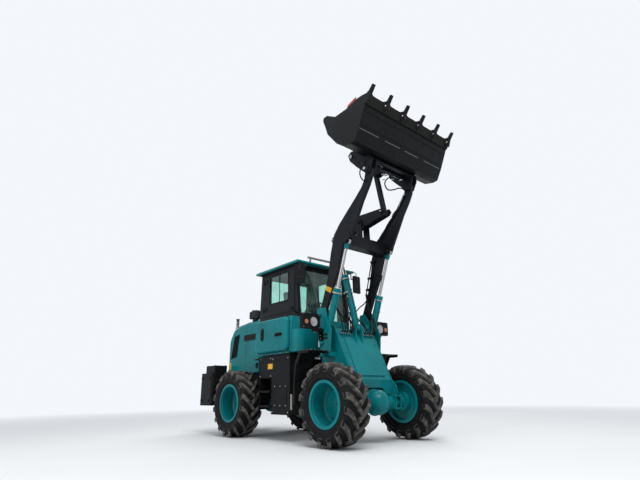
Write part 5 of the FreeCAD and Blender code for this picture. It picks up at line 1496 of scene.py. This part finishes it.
def cylinders():
    jobs = [
        # barrel, rod, base, eye, y, barrel radius, rod radius, barrel length
        ("lift_barrel_left", "lift_rod_left", LIFT_BASE, LIFT_EYE, 0.510, 0.055, 0.027, 0.915),
        ("lift_barrel_right", "lift_rod_right", LIFT_BASE, LIFT_EYE, -0.510, 0.055, 0.027, 0.915),
        ("tilt_barrel", "tilt_rod", TILT_BASE, ROCKER_REAR, 0.0, 0.055, 0.032, 0.975),
    ]
    for barrel, rod, base, eye, y, r, rod_r, length in jobs:
        a = V((base[0], y, base[1]))
        b = V((eye[0], y, eye[1]))
        d = (b - a).normalized()
        end = a + d * length
        bm = bmesh.new()
        add_gland(bm, end, d, r + 0.012, rod_r)
        for u, v in ring_of(8, 1.0):
            add_bolt(bm, end + basis(d) @ V((u, v, 0)) * (r - 0.003), d, 0.006)
        piece(barrel + "_gland", bm, "zinc", barrel)
        bm = bmesh.new()
        add_feed_pipe(bm, a, d, length, r)
        piece(barrel + "_pipe", bm, "teal", barrel, bevel=0.001)
        bm = bmesh.new()
        collar = [(rod_r, 0), (rod_r + 0.004, 0.002), (rod_r + 0.012, 0.030), (rod_r + 0.014, 0.080),
                  (rod_r + 0.014, 0.094)]
        add_lathe(bm, b - d * 0.133, d, collar, 32)
        if rod != "tilt_rod":
            # flats that keep the collar between the arm's cheeks
            for v in bm.verts:
                v.co.y = y + max(-0.0277, min(0.0277, v.co.y - y))
        piece(rod + "_collar", bm, "teal", rod)
    for side in SIDES:
        name = SIDE_NAME[side]
        base = V((-0.430, side * 0.300, 0.690))
        d = (V((0.380, side * 0.230, 0.690)) - base).normalized()
        bm = bmesh.new()
        add_gland(bm, base + d * 0.500, d, 0.046, 0.018)
        for far, up, tall in ((0.10, 0.030, 0.016), (0.44, 0.042, 0.010)):
            port = [(0.014, 0), (0.014, tall), (0.009, tall + 0.004), (0, tall + 0.005)]
            add_lathe(bm, base + d * far + V((0, 0, up)), Z_AXIS, port, 6)
        piece("steer_fittings_" + name, bm, "zinc", "steer_barrel_" + name)


def bridging_hose(name, points, r):
    """Hose whose two ends lie on two bodies, in a fixed curve between them."""
    bm = bmesh.new()
    add_hose(bm, points, r, steps=10)
    obj = piece(name, bm, "hose", None)
    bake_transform(obj)


def hoses():
    """Hoses over the cross beam: to the arms, to the tilt cylinder and to the coupler."""
    foot = FITTING + PANEL_OUT * 0.050
    for i, (y, lift) in enumerate(PANEL_HOSES):
        base = foot + (PANEL_OUT * lift + V((0, y, 0)))
        line = [base, base + PANEL_OUT * 0.030 + V((0, 0, 0.015))]
        side = 1 if y > 0 else -1
        if abs(y) > 0.240:
            # up to the pipes of the arms
            far = 0.400 + 0.013 * (i % 4)
            line += [
                (1.085 + lift, y + side * 0.010, 1.745), (1.070 + lift, y + side * 0.030, 1.860),
                (1.000 + lift, far * side - side * 0.020, 1.990), (0.925, far * side, 2.130),
                (0.875 + lift, 0.440 * side, 2.290), (0.858 + lift, 0.448 * side, 2.400),
            ]
            bridging_hose("hose_arm_" + str(i), line, 0.0105)
        else:
            # up to the ports on the tilt cylinder's side
            line += [
                (1.080 + lift, side * 0.165, 1.725), (1.035 + lift, side * 0.135, 1.815),
                (0.960 + lift, side * 0.120, 1.890), (0.895 + lift, side * 0.112, 1.985),
                (0.860 + lift, side * 0.105, 2.110), (0.848 + lift, side * 0.100, 2.230),
                (0.852 + lift, side * 0.078, 2.330), (0.862, side * 0.056, 2.365),
            ]
            bridging_hose("hose_tilt_" + str(i), line, 0.0100)
    # from the arm's pipe back down to the shelf behind the panel
    line = [(0.910, 0.470, 2.380), (0.862, 0.462, 2.300), (0.790, 0.450, 2.235), (0.710, 0.420, 2.180),
            (0.655, 0.370, 2.090), (0.665, 0.330, 1.960), (0.735, 0.310, 1.820), (0.830, 0.300, 1.660)]
    for side in SIDES:
        bridging_hose("hose_return_" + SIDE_NAME[side], [(x, side * y, z) for x, y, z in line], 0.0105)
    line = [(1.915, 0.470, 4.090), (1.880, 0.450, 4.130), (1.835, 0.400, 4.150), (1.775, 0.300, 4.110),
            (1.748, 0.190, 4.090), (1.742, 0.125, 4.160), (1.752, 0.140, 4.250), (1.790, 0.195, 4.310),
            (1.830, 0.230, 4.330)]
    bridging_hose("hose_coupler_mid", line, 0.011)
    line = [(1.905, -0.545, 3.960), (1.870, -0.590, 3.990), (1.850, -0.620, 4.080), (1.872, -0.622, 4.170),
            (1.925, -0.596, 4.225)]
    bridging_hose("hose_coupler_right", line, 0.010)


def valve_block():
    """Fittings on the sloped panel and on the tilt cylinder."""
    fittings = bmesh.new()
    bases = bmesh.new()
    for y, lift in PANEL_HOSES:
        at = FITTING + V((0, y, 0))
        boss = [(0.020, 0), (0.021, 0.003), (0.021, 0.018), (0.013, 0.020)]
        add_lathe(bases, at - PANEL_OUT * 0.002, PANEL_OUT, boss, 16)
        nut = [(0.0135, 0), (0.0145, 0.002), (0.0145, 0.016), (0.0115, 0.018), (0.0115, 0.032 + lift),
               (0, 0.033 + lift)]
        add_lathe(fittings, at + PANEL_OUT * 0.018, PANEL_OUT, nut, 6)
    piece("hose_fittings", fittings, "zinc", "front_frame")
    piece("hose_bosses", bases, "teal", "front_frame")
    bm = bmesh.new()
    for side in SIDES:
        add_side_block(bm, side, (0.822, 0.905), (0.048, 0.078), (2.270, 2.300), turned(-14, "Y"))
        add_side_block(bm, side, (0.810, 0.895), (0.048, 0.074), (2.350, 2.385), turned(-14, "Y"))
    piece("tilt_port_blocks", bm, "zinc", "tilt_barrel", bevel=0.003)


def drive_shafts():
    """Shaft to each axle, and the joint between them under the frame's hinge."""
    shaft = [(0, 0), (0.026, 0.0), (0.040, 0.030), (0.040, 0.075), (0.030, 0.095), (0.030, 0.96),
             (0.044, 0.98), (0.044, 1.02), (0.060, 1.022), (0.060, 1.036), (0, 1.036)]
    for body, x0, x1 in (("front_frame", 0.060, 1.140), ("rear_frame", -0.060, -1.120)):
        bm = bmesh.new()
        a = V((x0, 0, 0.640))
        add_lathe(bm, a, (V((x1, 0, 0.600)) - a).normalized(), shaft, 24)
        piece("drive_shaft_" + body, bm, "charcoal", body)
    bm = bmesh.new()
    for axis in (Y_AXIS, Z_AXIS):
        add_lathe(bm, (0, 0, 0.640), axis, [(0, -0.055), (0.016, -0.055), (0.016, 0.055), (0, 0.055)], 16)
    add_lathe(bm, (-0.07, 0, 0.640), X_AXIS, [(0.030, 0), (0.046, 0.03), (0.042, 0.06), (0.0, 0.062)], 20)
    piece("shaft_joint", bm, "charcoal", "rear_frame")


def hinge_details():
    """Guard under the cab's floor and the hoses that cross the frame's hinge."""
    bm = bmesh.new()
    add_block(bm, (-0.338, -0.500, 1.020), (-0.328, 0.500, 1.335))
    for y in (-0.36, -0.12, 0.12, 0.36):
        add_block(bm, (-0.328, y - 0.015, 1.030), (-0.310, y + 0.015, 1.325))
    piece("floor_guard", bm, "trim", "rear_frame", bevel=0.003)
    places = ((-0.110, 1.120), (-0.060, 1.165), (0.060, 1.165), (0.110, 1.120), (0.000, 1.080))
    for i, (y, z) in enumerate(places):
        line = [
            (-0.315, y, z), (-0.240, y, z), (-0.100, y * 1.25, z - 0.030), (0.080, y * 1.4, z - 0.070),
            (0.260, y * 1.6, z - 0.050), (0.440, y * 1.9, z + 0.020), (0.560, y * 2.1, z + 0.060),
            (0.640, y * 2.1, z + 0.070),
        ]
        bridging_hose("hose_hinge_" + str(i), line, 0.014)


def fender_details():
    bm = bmesh.new()
    for side in SIDES:
        add_bolts(bm, (0.845, 0.975), (side * 0.70, side * 0.97), (1.352,), Z_AXIS, 0.009)
    piece("fender_bolts", bm, "zinc", "front_frame")
    bm = bmesh.new()
    # rolled bead along the outer edge of each fender, in rubber paler than the fender's black, so that the
    # edge shows as a light line
    line = [(1.003, 1.350), (0.800, 1.350), (0.690, 1.178), (0.652, 0.900), (0.652, 0.562)]
    for side in SIDES:
        sweep(bm, on_side(line, side * 1.036), 0.008, 8)
    piece("fender_beads", bm, "lining", "front_frame")


set_camera()
set_stage()
finish_nodes()
for side in SIDES:
    for end in ("front", "rear"):
        wheel(end, side)
    door_trim(side)
grilles()
hood_trim()
tail()
toolbox()
tanks()
cab_trim()
cab_controls()
roof_seal()
mirror_glasses()
driver_seat()
lamps()
frame_details()
boom_details()
linkage_details()
bucket_details()
cylinders()
hoses()
valve_block()
drive_shafts()
hinge_details()
fender_details()
